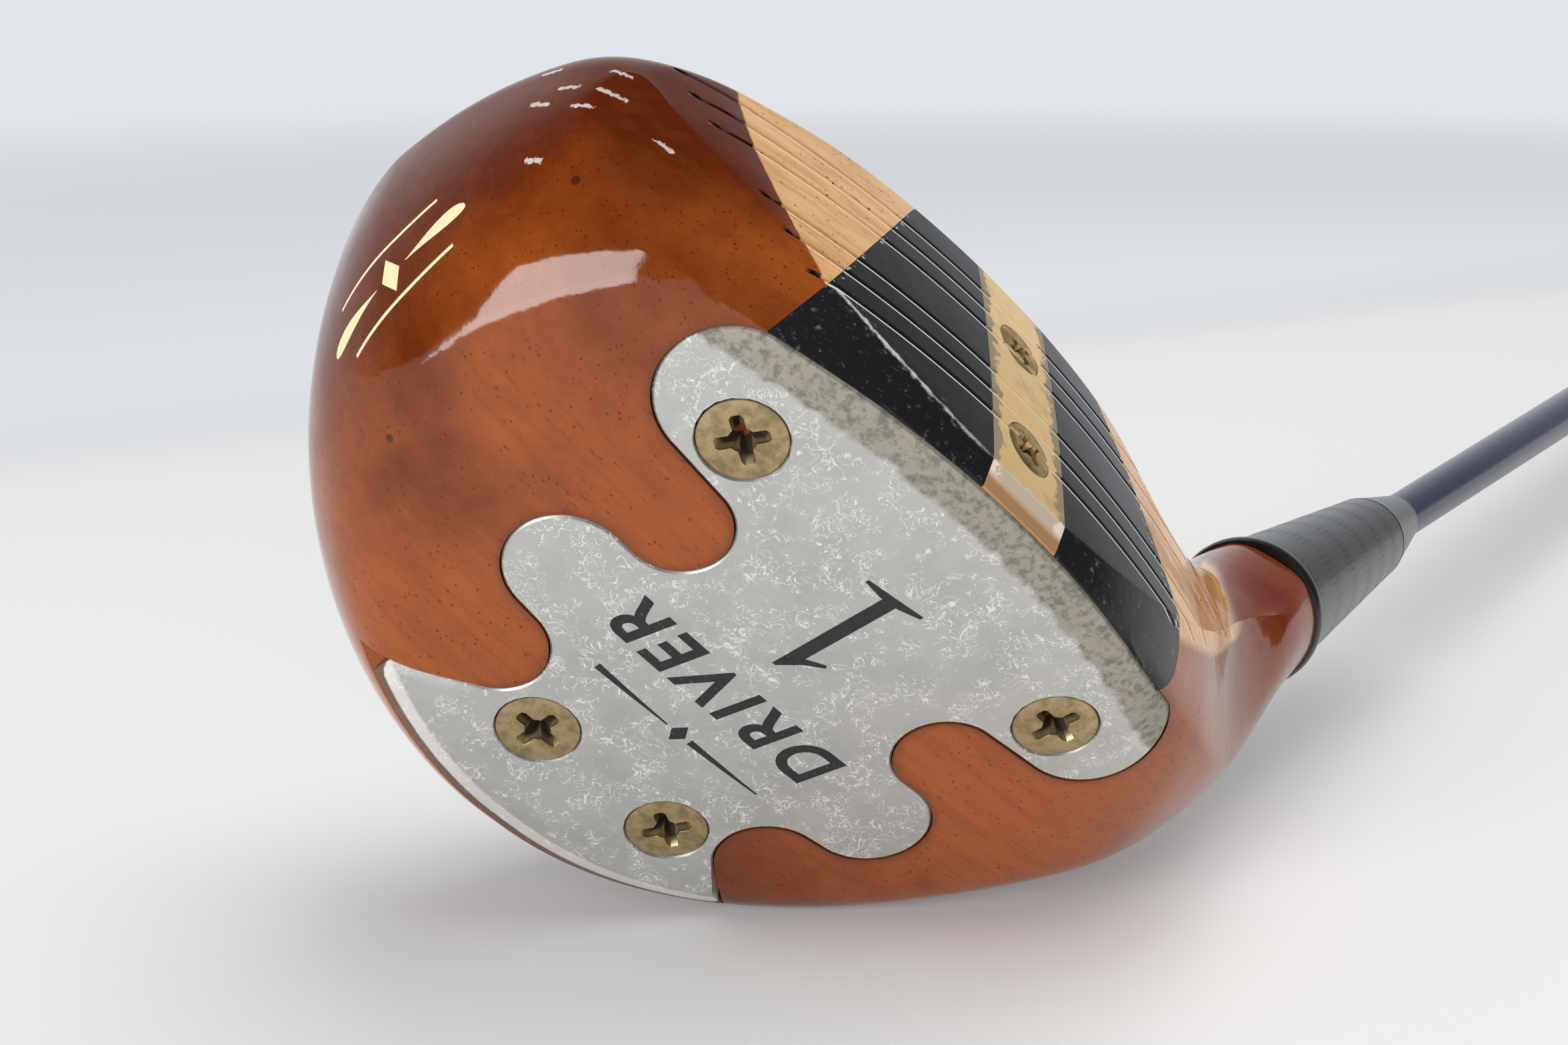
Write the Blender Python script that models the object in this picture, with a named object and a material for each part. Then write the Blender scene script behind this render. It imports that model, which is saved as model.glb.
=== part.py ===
"""Wooden golf driver: a lacquered wood head with a face insert, sole plate, wound neck, shaft and grip.

The club is drawn in its own frame: +Z up from the sole, the face towards -Y, the toe towards -X and the
shaft rising towards +X. Everything hangs from one empty that lays the club down on a level surface.
"""
import math

import bmesh
import bpy
import numpy as np
from mathutils import Matrix, Vector

MM = 0.001
GAP = 0.3                      # clearance kept between touching pieces, mm

# Head: driving dimensions in mm
TOE_X = -61.1                  # tip of the toe
WIDEST_X = -3.5                # where the head is deepest from face to back
BODY_Y = 19.3                  # front-to-back position of the body's core line
BODY_Z = 27.8                  # height of the body's core line
FRONT_REACH = 53.2             # core line to the uncut front
BACK_REACH = 50.5              # core line to the back
CROWN_RISE = 15.9              # core line up to the crown
SOLE_DROP = 37.1               # core line down to the uncut sole
TOE_FRONT_POWER = 2.18         # fullness of the toe's plan outline, front and back
TOE_BACK_POWER = 1.72
SECTION_POWER_UP = 2.21        # fullness of the cross-sections above and below the core line
SECTION_POWER_DOWN = 2.53
TOE_TALL_POWER = 2.2           # fullness of the toe seen from the front
TOE_LIFT = 3.6                 # how far the core line rises at the toe
HEEL_FADE = (1.0, 0.61, 1.0, 1.03)  # share of the heel over which front, back, crown and sole draw in
HEEL_LEAVE = 50.0              # pull of the heel's curve where it leaves the body and where it joins the neck
HEEL_ARRIVE = 44.0

# Face and sole
FACE_Y = -16.9                 # face at mid-height
FACE_TILT = math.radians(2.2)  # against the sole; the shaft's forward lean makes up the rest of the loft
BULGE_RADIUS = 168.0
ROLL_RADIUS = 295.0
FACE_MID_Z = 24.0
SOLE_CAMBER = 290.0
EDGE_Z = 3.1                   # leading edge above the sole at the centre
EDGE_RISE = 101.0              # how fast the leading edge climbs to each side
WORN_W = 2.4                   # worn band along the plate's front edge, and its slope
WORN_SLOPE = 0.16
FACE_HEEL_X = 50.0             # the face runs out into the neck past here, this fast
FACE_RUN_OUT = 0.03
BEVEL_MIN = 1.5                # least depth of the bevel between the plate and the leading edge
EDGE_SOFT = 2.4                # rounding of the face's border, of the leading edge and of the sole's border
LEADING_SOFT = 1.0
CRISP_HALF = 38.0              # the leading edge is crisp within this half width, in front of this depth
CRISP_Y = 4.0
CRISP_FADE = 8.0
SOLE_SOFT = 4.0

# Neck and shaft
LIE = math.radians(52.0)
LEAN = math.radians(8.0)
AXIS_FOOT = Vector((26.1, 7.5, 0.0))
RIM_AT = 75.5                  # distances along the shaft axis from the sole
NECK_TOP = 128.0
FERRULE_TOP = 145.0
CLUB_LENGTH = 1092.0
NECK_R = 10.1
WHIP_T = 1.2
NECK_TOP_R = 5.6
BAND_L = 3.0                   # band at the whipping's lower rim, and how far it stands proud of the wood
BAND_PROUD = 0.6
SHAFT_TIP_AT = 15.0
SHAFT_TIP_D = 7.2
SHAFT_BUTT_D = 15.2
SHAFT_WALL = 1.5
TAPER_FROM = 110.0
PIN_AT = 64.0
PIN_D = 2.4
TIP_WEIGHT_L = 42.0

# Sole plate and its screws
PLATE_T = 2.6
PLATE_FRONT_Y = -15.6
PLATE_FRONT_R = 110.0
LOBE = (29.5, -2.5, 8.5)       # x, y and radius of the arcs that make one side of the plate
FINGER = (22.1, 12.5, 6.1)
WING = (24.6, 25.8, 7.2)
WAIST = (22.5, 39.6, 6.4)
REAR_CORNER = (28.2, 51.5)
SCREW_FRONT = (25.85, 0.0)
SCREW_REAR = (10.5, 44.5)
SCREW_HEAD_D = 9.6
SCREW_SHANK_D = 4.8
SCREW_L = 17.0
SCREW_TURNS = (63.0, 87.0, 1.0, 65.0)  # degrees each driving recess stands at, toe then heel, front then rear
RECESS_SPAN = 0.62             # a cross recess as shares of the screw's head: across, deep, blade thickness
RECESS_DEPTH = 0.26
RECESS_BLADE = 0.11
COUNTERSINK = math.radians(41.0)
SCREW_RIM = 0.35

# Face insert
INSERT_T = 9.6
INSERT_X = -0.7
INSERT_TOE = (33.9, 0.44)      # half width level with the sole, and how fast it narrows going up
INSERT_HEEL = (37.7, 0.54)
INSERT_CORNER_R = 9.0
INSERT_FOOT_TURN = math.radians(-62.0)
FACE_LOW = -14.0               # the cutters reach this far below the sole and above the crown
FACE_HIGH = 70.0
PLATE_LOW = -25.0
PLATE_HIGH = 14.0
SLAB_HALF = 80.0
STRIP_W = 11.8
STRIP_SCREW_Z = (10.7, 29.0)
STRIP_SCREW_D = 6.6
STRIP_SHANK_D = 3.5
STRIP_SCREW_L = 19.0
STRIP_SCREW_TURN = 38.0

BACKWEIGHT_AT = (0.0, 27.0)
BACKWEIGHT_D = 16.0
BACKWEIGHT_L = 13.5

# Grip
GRIP_L = 267.0
GRIP_LOW_D = 20.5
GRIP_TOP_D = 26.5
TAPE_T = 0.45
CAP_T = 6.0
CAP_D = 29.0

# How the club lies: turned about its shaft, then tipped until head and grip both touch
LYING_ROLL = math.radians(-44.1)
LYING_PITCH = math.radians(0.574)

RINGS_TOE = 16
RINGS_HEEL = 22
RING_POINTS = 48

COLOURS = {
    "wood": ((0.33, 0.10, 0.025), 0.18, 0.0),
    "insert": ((0.008, 0.008, 0.009), 0.15, 0.0),
    "brass": ((0.72, 0.50, 0.22), 0.32, 1.0),
    "aged_brass": ((0.42, 0.31, 0.14), 0.45, 1.0),
    "aluminium": ((0.62, 0.63, 0.62), 0.38, 1.0),
    "lead": ((0.18, 0.19, 0.20), 0.6, 1.0),
    "winding": ((0.012, 0.012, 0.013), 0.35, 0.0),
    "ferrule": ((0.01, 0.01, 0.011), 0.2, 0.0),
    "shaft_paint": ((0.010, 0.014, 0.045), 0.16, 0.0),
    "steel": ((0.5, 0.5, 0.5), 0.3, 1.0),
    "tape": ((0.55, 0.5, 0.4), 0.8, 0.0),
    "rubber": ((0.015, 0.015, 0.015), 0.75, 0.0),
}


def material(name):
    """Principled material of the palette, made once."""
    known = bpy.data.materials.get(name)
    if known:
        return known
    colour, roughness, metallic = COLOURS[name]
    mat = bpy.data.materials.new(name)
    mat.use_nodes = True
    shader = mat.node_tree.nodes["Principled BSDF"]
    shader.inputs["Base Color"].default_value = (*colour, 1.0)
    shader.inputs["Roughness"].default_value = roughness
    shader.inputs["Metallic"].default_value = metallic
    return mat


# ---------------------------------------------------------------- frame
SHAFT_DIR = Vector((math.cos(LIE), -math.sin(LIE) * math.sin(LEAN), math.sin(LIE) * math.cos(LEAN)))


def on_axis(distance):
    """Point on the shaft axis, a distance in mm from where it meets the sole."""
    return AXIS_FOOT + SHAFT_DIR * distance


def lying_rotation():
    """Rotation from the club's frame to the lying club: shaft along +X, then roll and pitch."""
    along = SHAFT_DIR.normalized()
    side = Vector((0.0, 0.0, 1.0)).cross(along).normalized()
    up = along.cross(side)
    level = Matrix((along, side, up))
    roll = Matrix.Rotation(LYING_ROLL, 3, "X")
    pitch = Matrix.Rotation(LYING_PITCH, 3, "Y")
    return pitch @ roll @ level


# ---------------------------------------------------------------- mesh helpers
def link(name, mesh, colour, smooth=True):
    """Object for a mesh given in mm, scaled to metres and parented to the lying club."""
    mesh.transform(Matrix.Scale(MM, 4))
    mesh.update()
    obj = bpy.data.objects.new(name, mesh)
    bpy.context.scene.collection.objects.link(obj)
    mesh.materials.append(material(colour))
    if smooth:
        mesh.shade_smooth()
        mesh.set_sharp_from_angle(angle=math.radians(35.0))
    obj.parent = bpy.data.objects["club_lying"]
    return obj


def mesh_of(name, verts, faces):
    """Closed mesh from points and faces, its normals turned outwards."""
    bm = bmesh.new()
    made = [bm.verts.new(v) for v in verts]
    for face in faces:
        bm.faces.new([made[i] for i in face])
    bmesh.ops.remove_doubles(bm, verts=bm.verts, dist=1e-5)
    bmesh.ops.recalc_face_normals(bm, faces=bm.faces)
    mesh = bpy.data.meshes.new(name)
    bm.to_mesh(mesh)
    bm.free()
    return mesh


def ring_mesh(name, rings):
    """Skin over closed rings of points, capped at both ends."""
    count = len(rings[0])
    verts = [tuple(p) for ring in rings for p in ring]
    faces = []
    for i in range(len(rings) - 1):
        for j in range(count):
            k = (j + 1) % count
            faces.append((i * count + j, i * count + k, (i + 1) * count + k, (i + 1) * count + j))
    faces.append(tuple(range(count))[::-1])
    last = (len(rings) - 1) * count
    faces.append(tuple(range(last, last + count)))
    return mesh_of(name, verts, faces)


def aim(origin, direction):
    """Matrix that takes +Z to a direction, at an origin in mm."""
    turn = Vector(direction).to_track_quat("Z", "Y").to_matrix().to_4x4()
    return Matrix.Translation(origin) @ turn


def turned(name, profile, place, steps=32):
    """Solid turned about its own axis: (radius, height) pairs from the low to the high end."""
    rings = []
    angles = [2.0 * math.pi * i / steps for i in range(steps)]
    for radius, height in profile:
        rings.append([place @ Vector((radius * math.cos(a), radius * math.sin(a), height)) for a in angles])
    return ring_mesh(name, rings)


def tube(name, outer, bore, place, steps=32):
    """Turned sleeve: the outer profile one way, the bore's profile back."""
    angles = [2.0 * math.pi * i / steps for i in range(steps)]
    profile = list(outer) + list(reversed(bore))
    verts = [place @ Vector((r * math.cos(a), r * math.sin(a), h)) for r, h in profile for a in angles]
    faces = []
    loops = len(profile)
    for i in range(loops):
        m = (i + 1) % loops
        for j in range(steps):
            k = (j + 1) % steps
            faces.append((i * steps + j, i * steps + k, m * steps + k, m * steps + j))
    return mesh_of(name, verts, faces)


def boolean(target, cutter_mesh, operation="DIFFERENCE"):
    """Cut a mesh object with a mesh given in mm, apply it, and drop the cutter."""
    cutter = link("cutter", cutter_mesh, "steel", smooth=False)
    cutter.hide_render = True
    cutter.display_type = "WIRE"
    cut = target.modifiers.new("cut", "BOOLEAN")
    cut.operation = operation
    cut.solver = "EXACT"
    cut.object = cutter
    bpy.context.view_layer.update()
    depsgraph = bpy.context.evaluated_depsgraph_get()
    result = bpy.data.meshes.new_from_object(target.evaluated_get(depsgraph))
    target.modifiers.clear()
    old = target.data
    target.data = result
    result.name = target.name
    bpy.data.meshes.remove(old)
    bpy.data.objects.remove(cutter)
    return target


def reshade(obj):
    """Smooth shading after the cuts, with the edges left crisp."""
    obj.data.shade_smooth()
    obj.data.set_sharp_from_angle(angle=math.radians(35.0))


# ---------------------------------------------------------------- head surface
def soft_max(a, b, width):
    """The larger of two values, blended over a width."""
    mix = np.clip(0.5 + 0.5 * (a - b) / width, 0.0, 1.0)
    return b * (1.0 - mix) + a * mix + width * mix * (1.0 - mix)


def smooth(t):
    t = np.clip(t, 0.0, 1.0)
    return t * t * (3.0 - 2.0 * t)


def face_y(x, z):
    """Front surface: tilted, with bulge across and roll up the face."""
    bulge = x ** 2 / (2.0 * BULGE_RADIUS)
    roll = (z - FACE_MID_Z) ** 2 / (2.0 * ROLL_RADIUS)
    run_out = FACE_RUN_OUT * np.maximum(x - FACE_HEEL_X, 0.0) ** 2
    return FACE_Y + (z - FACE_MID_Z) * math.tan(FACE_TILT) + bulge + roll - run_out


def sole_z(x):
    return x ** 2 / (2.0 * SOLE_CAMBER)


def plate_front_y(x):
    return PLATE_FRONT_Y + x ** 2 / (2.0 * PLATE_FRONT_R)


def edge_z(x):
    """Height of the leading edge, which climbs towards heel and toe."""
    return EDGE_Z + (x + 1.0) ** 2 / EDGE_RISE


def under_z(x, y):
    """Sole surface, with the bevel that rises from the plate to the leading edge."""
    edge = edge_z(x)
    front = plate_front_y(x)
    depth = np.maximum(front - face_y(x, edge), BEVEL_MIN)
    slope = (edge - sole_z(x)) / depth
    worn = WORN_SLOPE * np.clip(front + WORN_W - y, 0.0, WORN_W)
    return sole_z(x) + worn + slope * np.maximum(front - y, 0.0)


def signed_power(value, power):
    return np.sign(value) * np.abs(value) ** power


def section(centre, across, upward, reach, powers, count):
    """One closed cross-section: reach is (front, back, up, down)."""
    angle = np.linspace(0.0, 2.0 * np.pi, count, endpoint=False)
    c, s = np.cos(angle), np.sin(angle)
    power = np.where(s >= 0.0, 2.0 / powers[0], 2.0 / powers[1])
    width = np.where(c < 0.0, reach[0], reach[1]) * signed_power(c, power)
    height = np.where(s >= 0.0, reach[2], reach[3]) * signed_power(s, power)
    return centre + np.outer(width, across) + np.outer(height, upward)


def toe_sections(rings, count):
    """Sections square to X, closing towards the toe."""
    made = []
    for turn in np.linspace(0.04, np.pi / 2.0, rings):
        run = math.cos(turn)
        front = (1.0 - run ** TOE_FRONT_POWER) ** (1.0 / TOE_FRONT_POWER)
        back = (1.0 - run ** TOE_BACK_POWER) ** (1.0 / TOE_BACK_POWER)
        tall = (1.0 - run ** TOE_TALL_POWER) ** (1.0 / TOE_TALL_POWER)
        centre = np.array((WIDEST_X + (TOE_X - WIDEST_X) * run, BODY_Y, BODY_Z + TOE_LIFT * (1.0 - tall)))
        reach = (FRONT_REACH * front, BACK_REACH * back, CROWN_RISE * tall, SOLE_DROP * tall)
        made.append(section(centre, np.array((0.0, 1.0, 0.0)), np.array((0.0, 0.0, 1.0)), reach,
                            (SECTION_POWER_UP, SECTION_POWER_DOWN), count))
    return made


def heel_sections(rings, count):
    """Sections along a curve that leaves the body level and ends on the shaft axis at the whipping."""
    start = np.array((WIDEST_X, BODY_Y, BODY_Z))
    end = np.array(on_axis(RIM_AT))
    leave = start + np.array((HEEL_LEAVE, 0.0, 0.0))
    arrive = end - HEEL_ARRIVE * np.array(SHAFT_DIR)
    made = []
    for t in np.linspace(0.0, 1.0, rings + 1)[1:]:
        u = 1.0 - t
        centre = u ** 3 * start + 3 * u * u * t * leave + 3 * u * t * t * arrive + t ** 3 * end
        heading = 3 * u * u * (leave - start) + 6 * u * t * (arrive - leave) + 3 * t * t * (end - arrive)
        heading /= np.linalg.norm(heading)
        upward = np.cross(heading, (0.0, 1.0, 0.0))
        upward /= np.linalg.norm(upward)
        across = np.cross(upward, heading)
        fade = [1.0 - smooth((t - 0.02) / span) for span in HEEL_FADE]
        full = (FRONT_REACH, BACK_REACH, CROWN_RISE, SOLE_DROP)
        reach = [NECK_R + (whole - NECK_R) * part for whole, part in zip(full, fade)]
        powers = (2.0 + (SECTION_POWER_UP - 2.0) * fade[2], 2.0 + (SECTION_POWER_DOWN - 2.0) * fade[3])
        made.append(section(centre, across, upward, reach, powers, count))
    return made


def head_sections(toe_rings=RINGS_TOE, heel_rings=RINGS_HEEL, count=RING_POINTS):
    """The head's skin from toe to whipping, with the face and the sole cut to shape."""
    points = np.array(toe_sections(toe_rings, count) + heel_sections(heel_rings, count))
    points[..., 1] = soft_max(points[..., 1], face_y(points[..., 0], points[..., 2]), EDGE_SOFT)
    x, y = points[..., 0], points[..., 1]
    crisp = smooth((CRISP_HALF - np.abs(x)) / CRISP_FADE) * smooth((CRISP_Y - y) / CRISP_FADE)
    width = SOLE_SOFT + (LEADING_SOFT - SOLE_SOFT) * crisp
    points[..., 2] = soft_max(points[..., 2], under_z(x, y), width)
    return points


def neck_rings(count):
    """The thinned neck under the whipping."""
    rings = []
    turn = np.linspace(0.0, 2.0 * np.pi, count, endpoint=False)
    upward = np.cross(np.array(SHAFT_DIR), (0.0, 1.0, 0.0))
    upward /= np.linalg.norm(upward)
    across = np.cross(upward, np.array(SHAFT_DIR))
    for distance, radius in ((RIM_AT, NECK_R - WHIP_T), (NECK_TOP, NECK_TOP_R)):
        circle = np.outer(np.cos(turn), across) + np.outer(np.sin(turn), upward)
        rings.append(np.array(on_axis(distance)) + radius * circle)
    return rings


# ---------------------------------------------------------------- cutters
def arc(centre, radius, start, end, steps):
    angles = [start + (end - start) * i / steps for i in range(steps + 1)]
    return [(centre[0] + radius * math.cos(a), centre[1] + radius * math.sin(a)) for a in angles]


def plate_side(grow):
    """Heel half of the plate's outline, front to rear; grow moves it outwards."""
    lobe_r, finger_r, wing_r, waist_r = LOBE[2] + grow, FINGER[2] - grow, WING[2] + grow, WAIST[2] - grow
    side = arc(LOBE, lobe_r, math.radians(-64.0), math.radians(90.0), 14)
    side += arc(FINGER, finger_r, math.radians(-90.0), math.radians(-270.0), 12)
    side += arc(WING, wing_r, math.radians(-90.0), math.radians(84.0), 14)
    reach = Vector(REAR_CORNER) - Vector(WAIST[:2])
    tangent = math.atan2(reach.y, reach.x) + math.acos(WAIST[2] / reach.length)
    side += arc(WAIST, waist_r, math.radians(-96.0), tangent - 2.0 * math.pi, 12)
    last = Vector(side[-1])
    flare = (Vector(REAR_CORNER) - Vector(WAIST[:2])).normalized()
    ahead = Vector((-math.sin(tangent), math.cos(tangent)))
    if ahead.dot(flare) < 0.0:
        ahead = -ahead
    side.append(tuple(last + ahead * (BODY_Y + BACK_REACH)))
    return side


def plate_outline(grow=0.0):
    """Whole outline: the front arc, both sides, and an open run past the rear of the head."""
    heel = plate_side(grow)
    toe = [(-x, y) for x, y in reversed(heel)]
    first = heel[0]
    front = []
    for i in range(1, 12):
        x = -first[0] + 2.0 * first[0] * i / 12
        front.append((x, first[1] + (x * x - first[0] ** 2) / (2.0 * PLATE_FRONT_R)))
    return toe + front + heel


def prism(name, outline, low, high):
    """Straight prism over an outline of (x, y), in mm."""
    count = len(outline)
    verts = [(x, y, low) for x, y in outline] + [(x, y, high) for x, y in outline]
    faces = [tuple(range(count))[::-1], tuple(range(count, 2 * count))]
    for i in range(count):
        j = (i + 1) % count
        faces.append((i, j, count + j, count + i))
    return mesh_of(name, verts, faces)


def cambered_slab(name, low, high):
    """Slab that follows the sole's camber between two heights above it."""
    rings = []
    back = BODY_Y + 2.0 * BACK_REACH
    for x in np.arange(-SLAB_HALF, SLAB_HALF + 1.0, 5.0):
        base = float(sole_z(x))
        rings.append([(x, -40.0, base + low), (x, back, base + low), (x, back, base + high), (x, -40.0, base + high)])
    return ring_mesh(name, rings)


def insert_outline(grow):
    """Insert seen from the front, (x, z): straight tapered sides, its lower heel corner rounded."""
    low, high = FACE_LOW, FACE_HIGH
    toe, heel = INSERT_TOE[0] + grow, INSERT_HEEL[0] + grow
    toe_low = (INSERT_X - toe + INSERT_TOE[1] * low, low)
    toe_high = (INSERT_X - toe + INSERT_TOE[1] * high, high)
    heel_high = (INSERT_X + heel - INSERT_HEEL[1] * high, high)
    centre = (INSERT_X + heel - INSERT_HEEL[1] * INSERT_CORNER_R - INSERT_CORNER_R, INSERT_CORNER_R)
    bend = arc(centre, INSERT_CORNER_R, math.atan(INSERT_HEEL[1]), INSERT_FOOT_TURN, 8)
    foot = (bend[-1][0] - 8.0, low)
    return [toe_low, foot] + bend[::-1] + [heel_high, toe_high]


def insert_slab(name, grow, left=-80.0, right=80.0, deep=0.0):
    """Block behind the face, between two x limits: the insert's outline run back by its thickness."""
    outline = insert_outline(grow)
    back = []
    front = []
    for x, z in outline:
        depth = FACE_Y + (z - FACE_MID_Z) * math.tan(FACE_TILT) + INSERT_T + deep
        back.append((x, depth, z))
        front.append((x, depth - 40.0, z))
    count = len(outline)
    faces = [tuple(range(count)), tuple(range(count, 2 * count))[::-1]]
    for i in range(count):
        j = (i + 1) % count
        faces.append((i, count + i, count + j, j))
    mesh = mesh_of(name, back + front, faces)
    if left > -80.0 or right < 80.0:
        block = link("block", mesh, "steel", smooth=False)
        limits = mesh_of("limits", *box(left, right, -80.0, 20.0, FACE_LOW - 5.0, FACE_HIGH + 5.0))
        boolean(block, limits, "INTERSECT")
        mesh = block.data.copy()
        mesh.transform(Matrix.Scale(1.0 / MM, 4))
        bpy.data.objects.remove(block)
    return mesh


def box(x0, x1, y0, y1, z0, z1):
    verts = [(x, y, z) for x in (x0, x1) for y in (y0, y1) for z in (z0, z1)]
    faces = [(0, 1, 3, 2), (4, 6, 7, 5), (0, 4, 5, 1), (2, 3, 7, 6), (0, 2, 6, 4), (1, 5, 7, 3)]
    return verts, faces


# ---------------------------------------------------------------- screws
def screw_places():
    """Name and placement of each sole screw; local +Z points out of the sole."""
    places = []
    turns = iter(SCREW_TURNS)
    for end, (x, y) in (("front", SCREW_FRONT), ("rear", SCREW_REAR)):
        for side, sign in (("toe", -1.0), ("heel", 1.0)):
            at = Vector((sign * x, y, float(sole_z(x))))
            out = Vector((sign * x / SOLE_CAMBER, 0.0, -1.0)).normalized()
            turn = Matrix.Rotation(math.radians(next(turns)), 4, "Z")
            places.append((f"sole_screw_{end}_{side}", aim(at, out) @ turn))
    return places


def strip_screw_places():
    """Name and placement of the two screws in the strip; local +Z points out of the face."""
    places = []
    for name, z in zip(("strip_screw_lower", "strip_screw_upper"), STRIP_SCREW_Z):
        slope = math.tan(FACE_TILT) + (z - FACE_MID_Z) / ROLL_RADIUS
        out = Vector((INSERT_X / BULGE_RADIUS, -1.0, slope)).normalized()
        at = Vector((INSERT_X, float(face_y(INSERT_X, z)), z))
        turn = Matrix.Rotation(math.radians(STRIP_SCREW_TURN), 4, "Z")
        places.append((name, aim(at, out) @ turn))
    return places


def screw_profile(head_d, shank_d, length, grow=0.0, lift=0.0):
    """Countersunk screw from its point to its head; grow makes the matching hole."""
    head_r, shank_r = head_d / 2.0 + grow, shank_d / 2.0 + grow
    cone = (head_d - shank_d) / 2.0 / math.tan(COUNTERSINK)
    profile = [(0.25 + grow, -length - grow), (shank_r, -length + 3.0), (shank_r, -cone - SCREW_RIM),
               (head_r, -SCREW_RIM)]
    return profile + [(head_r, lift)]


def cross_recess(place, size, depth):
    """Two crossed tapered blades that cut a screw's driving recess."""
    blades = []
    for angle in (0.0, math.pi / 2.0):
        turn = place @ Matrix.Rotation(angle, 4, "Z")
        half, thick = size / 2.0, size * RECESS_BLADE
        low = [(-half * 0.45, -thick * 0.7, -depth), (half * 0.45, -thick * 0.7, -depth),
               (half * 0.45, thick * 0.7, -depth), (-half * 0.45, thick * 0.7, -depth)]
        high = [(-half, -thick, 0.6), (half, -thick, 0.6), (half, thick, 0.6), (-half, thick, 0.6)]
        blades.append([[turn @ Vector(p) for p in low], [turn @ Vector(p) for p in high]])
    return [ring_mesh("blade", rings) for rings in blades]


def make_screw(name, place, head_d, shank_d, length, colour):
    screw = link(name, turned(name, screw_profile(head_d, shank_d, length), place, 24), colour)
    for blade in cross_recess(place, head_d * RECESS_SPAN, head_d * RECESS_DEPTH):
        boolean(screw, blade)
    reshade(screw)
    return screw


# ---------------------------------------------------------------- pieces
def head_blank(name, colour):
    """Whole head without any cut: the wood, the insert and the plate all start from it."""
    sections = [list(ring) for ring in head_sections()]
    return link(name, ring_mesh(name, sections + [list(r) for r in neck_rings(RING_POINTS)]), colour)


def make_plate():
    plate = head_blank("sole_plate", "aluminium")
    boolean(plate, prism("outline", plate_outline(), PLATE_LOW / 2.0, PLATE_HIGH), "INTERSECT")
    boolean(plate, cambered_slab("slab", PLATE_LOW, PLATE_T), "INTERSECT")
    for _, place in screw_places():
        hole = screw_profile(SCREW_HEAD_D, SCREW_SHANK_D, SCREW_L, GAP, 3.0)
        boolean(plate, turned("hole", hole, place, 24))
    reshade(plate)


def make_insert_piece(name, left, right, colour):
    piece = head_blank(name, colour)
    boolean(piece, insert_slab("slab", 0.0, left, right), "INTERSECT")
    cut_plate_recess(piece)
    reshade(piece)
    return piece


def cut_plate_recess(target):
    """Room for the sole plate, a gap larger all round."""
    room = link("room", prism("room", plate_outline(GAP), PLATE_LOW / 2.0, PLATE_HIGH), "steel", smooth=False)
    boolean(room, cambered_slab("slab", PLATE_LOW, PLATE_T + GAP), "INTERSECT")
    mesh = room.data.copy()
    mesh.transform(Matrix.Scale(1.0 / MM, 4))
    bpy.data.objects.remove(room)
    boolean(target, mesh)


def make_face():
    """Insert in two halves with the metal strip between them, held by two screws."""
    half = STRIP_W / 2.0
    make_insert_piece("face_insert_toe", -80.0, INSERT_X - half - GAP, "insert")
    make_insert_piece("face_insert_heel", INSERT_X + half + GAP, 80.0, "insert")
    strip = make_insert_piece("face_strip", INSERT_X - half, INSERT_X + half, "brass")
    for name, place in strip_screw_places():
        hole = screw_profile(STRIP_SCREW_D, STRIP_SHANK_D, STRIP_SCREW_L, GAP, 3.0)
        boolean(strip, turned("hole", hole, place, 24))
        make_screw(name, place, STRIP_SCREW_D, STRIP_SHANK_D, STRIP_SCREW_L, "brass")
    reshade(strip)


def make_head():
    """The wood: blank, minus the room for everything that is let into it."""
    head = head_blank("head_block", "wood")
    cut_plate_recess(head)
    boolean(head, insert_slab("slab", GAP, deep=GAP))
    for _, place in screw_places():
        boolean(head, turned("hole", screw_profile(SCREW_HEAD_D, SCREW_SHANK_D, SCREW_L, GAP, 3.0), place, 24))
    for _, place in strip_screw_places():
        hole = screw_profile(STRIP_SCREW_D, STRIP_SHANK_D, STRIP_SCREW_L, GAP, 3.0)
        boolean(head, turned("hole", hole, place, 24))
    bore_r = SHAFT_TIP_D / 2.0 + GAP
    bore = [(bore_r, SHAFT_TIP_AT - GAP), (bore_r, NECK_TOP + 20.0)]
    boolean(head, turned("bore", bore, aim(AXIS_FOOT, SHAFT_DIR), 32))
    low = float(sole_z(0.0)) + PLATE_T
    top = low + BACKWEIGHT_L + 2.0 * GAP
    pocket = [(BACKWEIGHT_D / 2.0 + GAP, -5.0), (BACKWEIGHT_D / 2.0 + GAP, top)]
    boolean(head, turned("pocket", pocket, Matrix.Translation((*BACKWEIGHT_AT, 0.0)), 32))
    boolean(head, turned("pin_hole", pin_profile(GAP, 6.0), pin_place(), 16))
    reshade(head)


def make_backweight():
    low = float(sole_z(0.0)) + PLATE_T + GAP
    profile = [(BACKWEIGHT_D / 2.0, low), (BACKWEIGHT_D / 2.0, low + BACKWEIGHT_L)]
    place = Matrix.Translation((*BACKWEIGHT_AT, 0.0))
    link("backweight_lead", turned("backweight_lead", profile, place, 32), "lead")


def pin_place():
    """The pin crosses the shaft square to it, from the back of the neck; local +Z points out at the back."""
    back = Vector((0.0, 1.0, 0.0))
    across = (back - SHAFT_DIR * back.dot(SHAFT_DIR)).normalized()
    return aim(on_axis(PIN_AT), across)


def pin_profile(grow=0.0, extra=0.0):
    radius = PIN_D / 2.0 + grow
    return [(radius, -SHAFT_TIP_D / 2.0 - 1.0 - grow), (radius, NECK_R - 0.2 + extra)]


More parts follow.
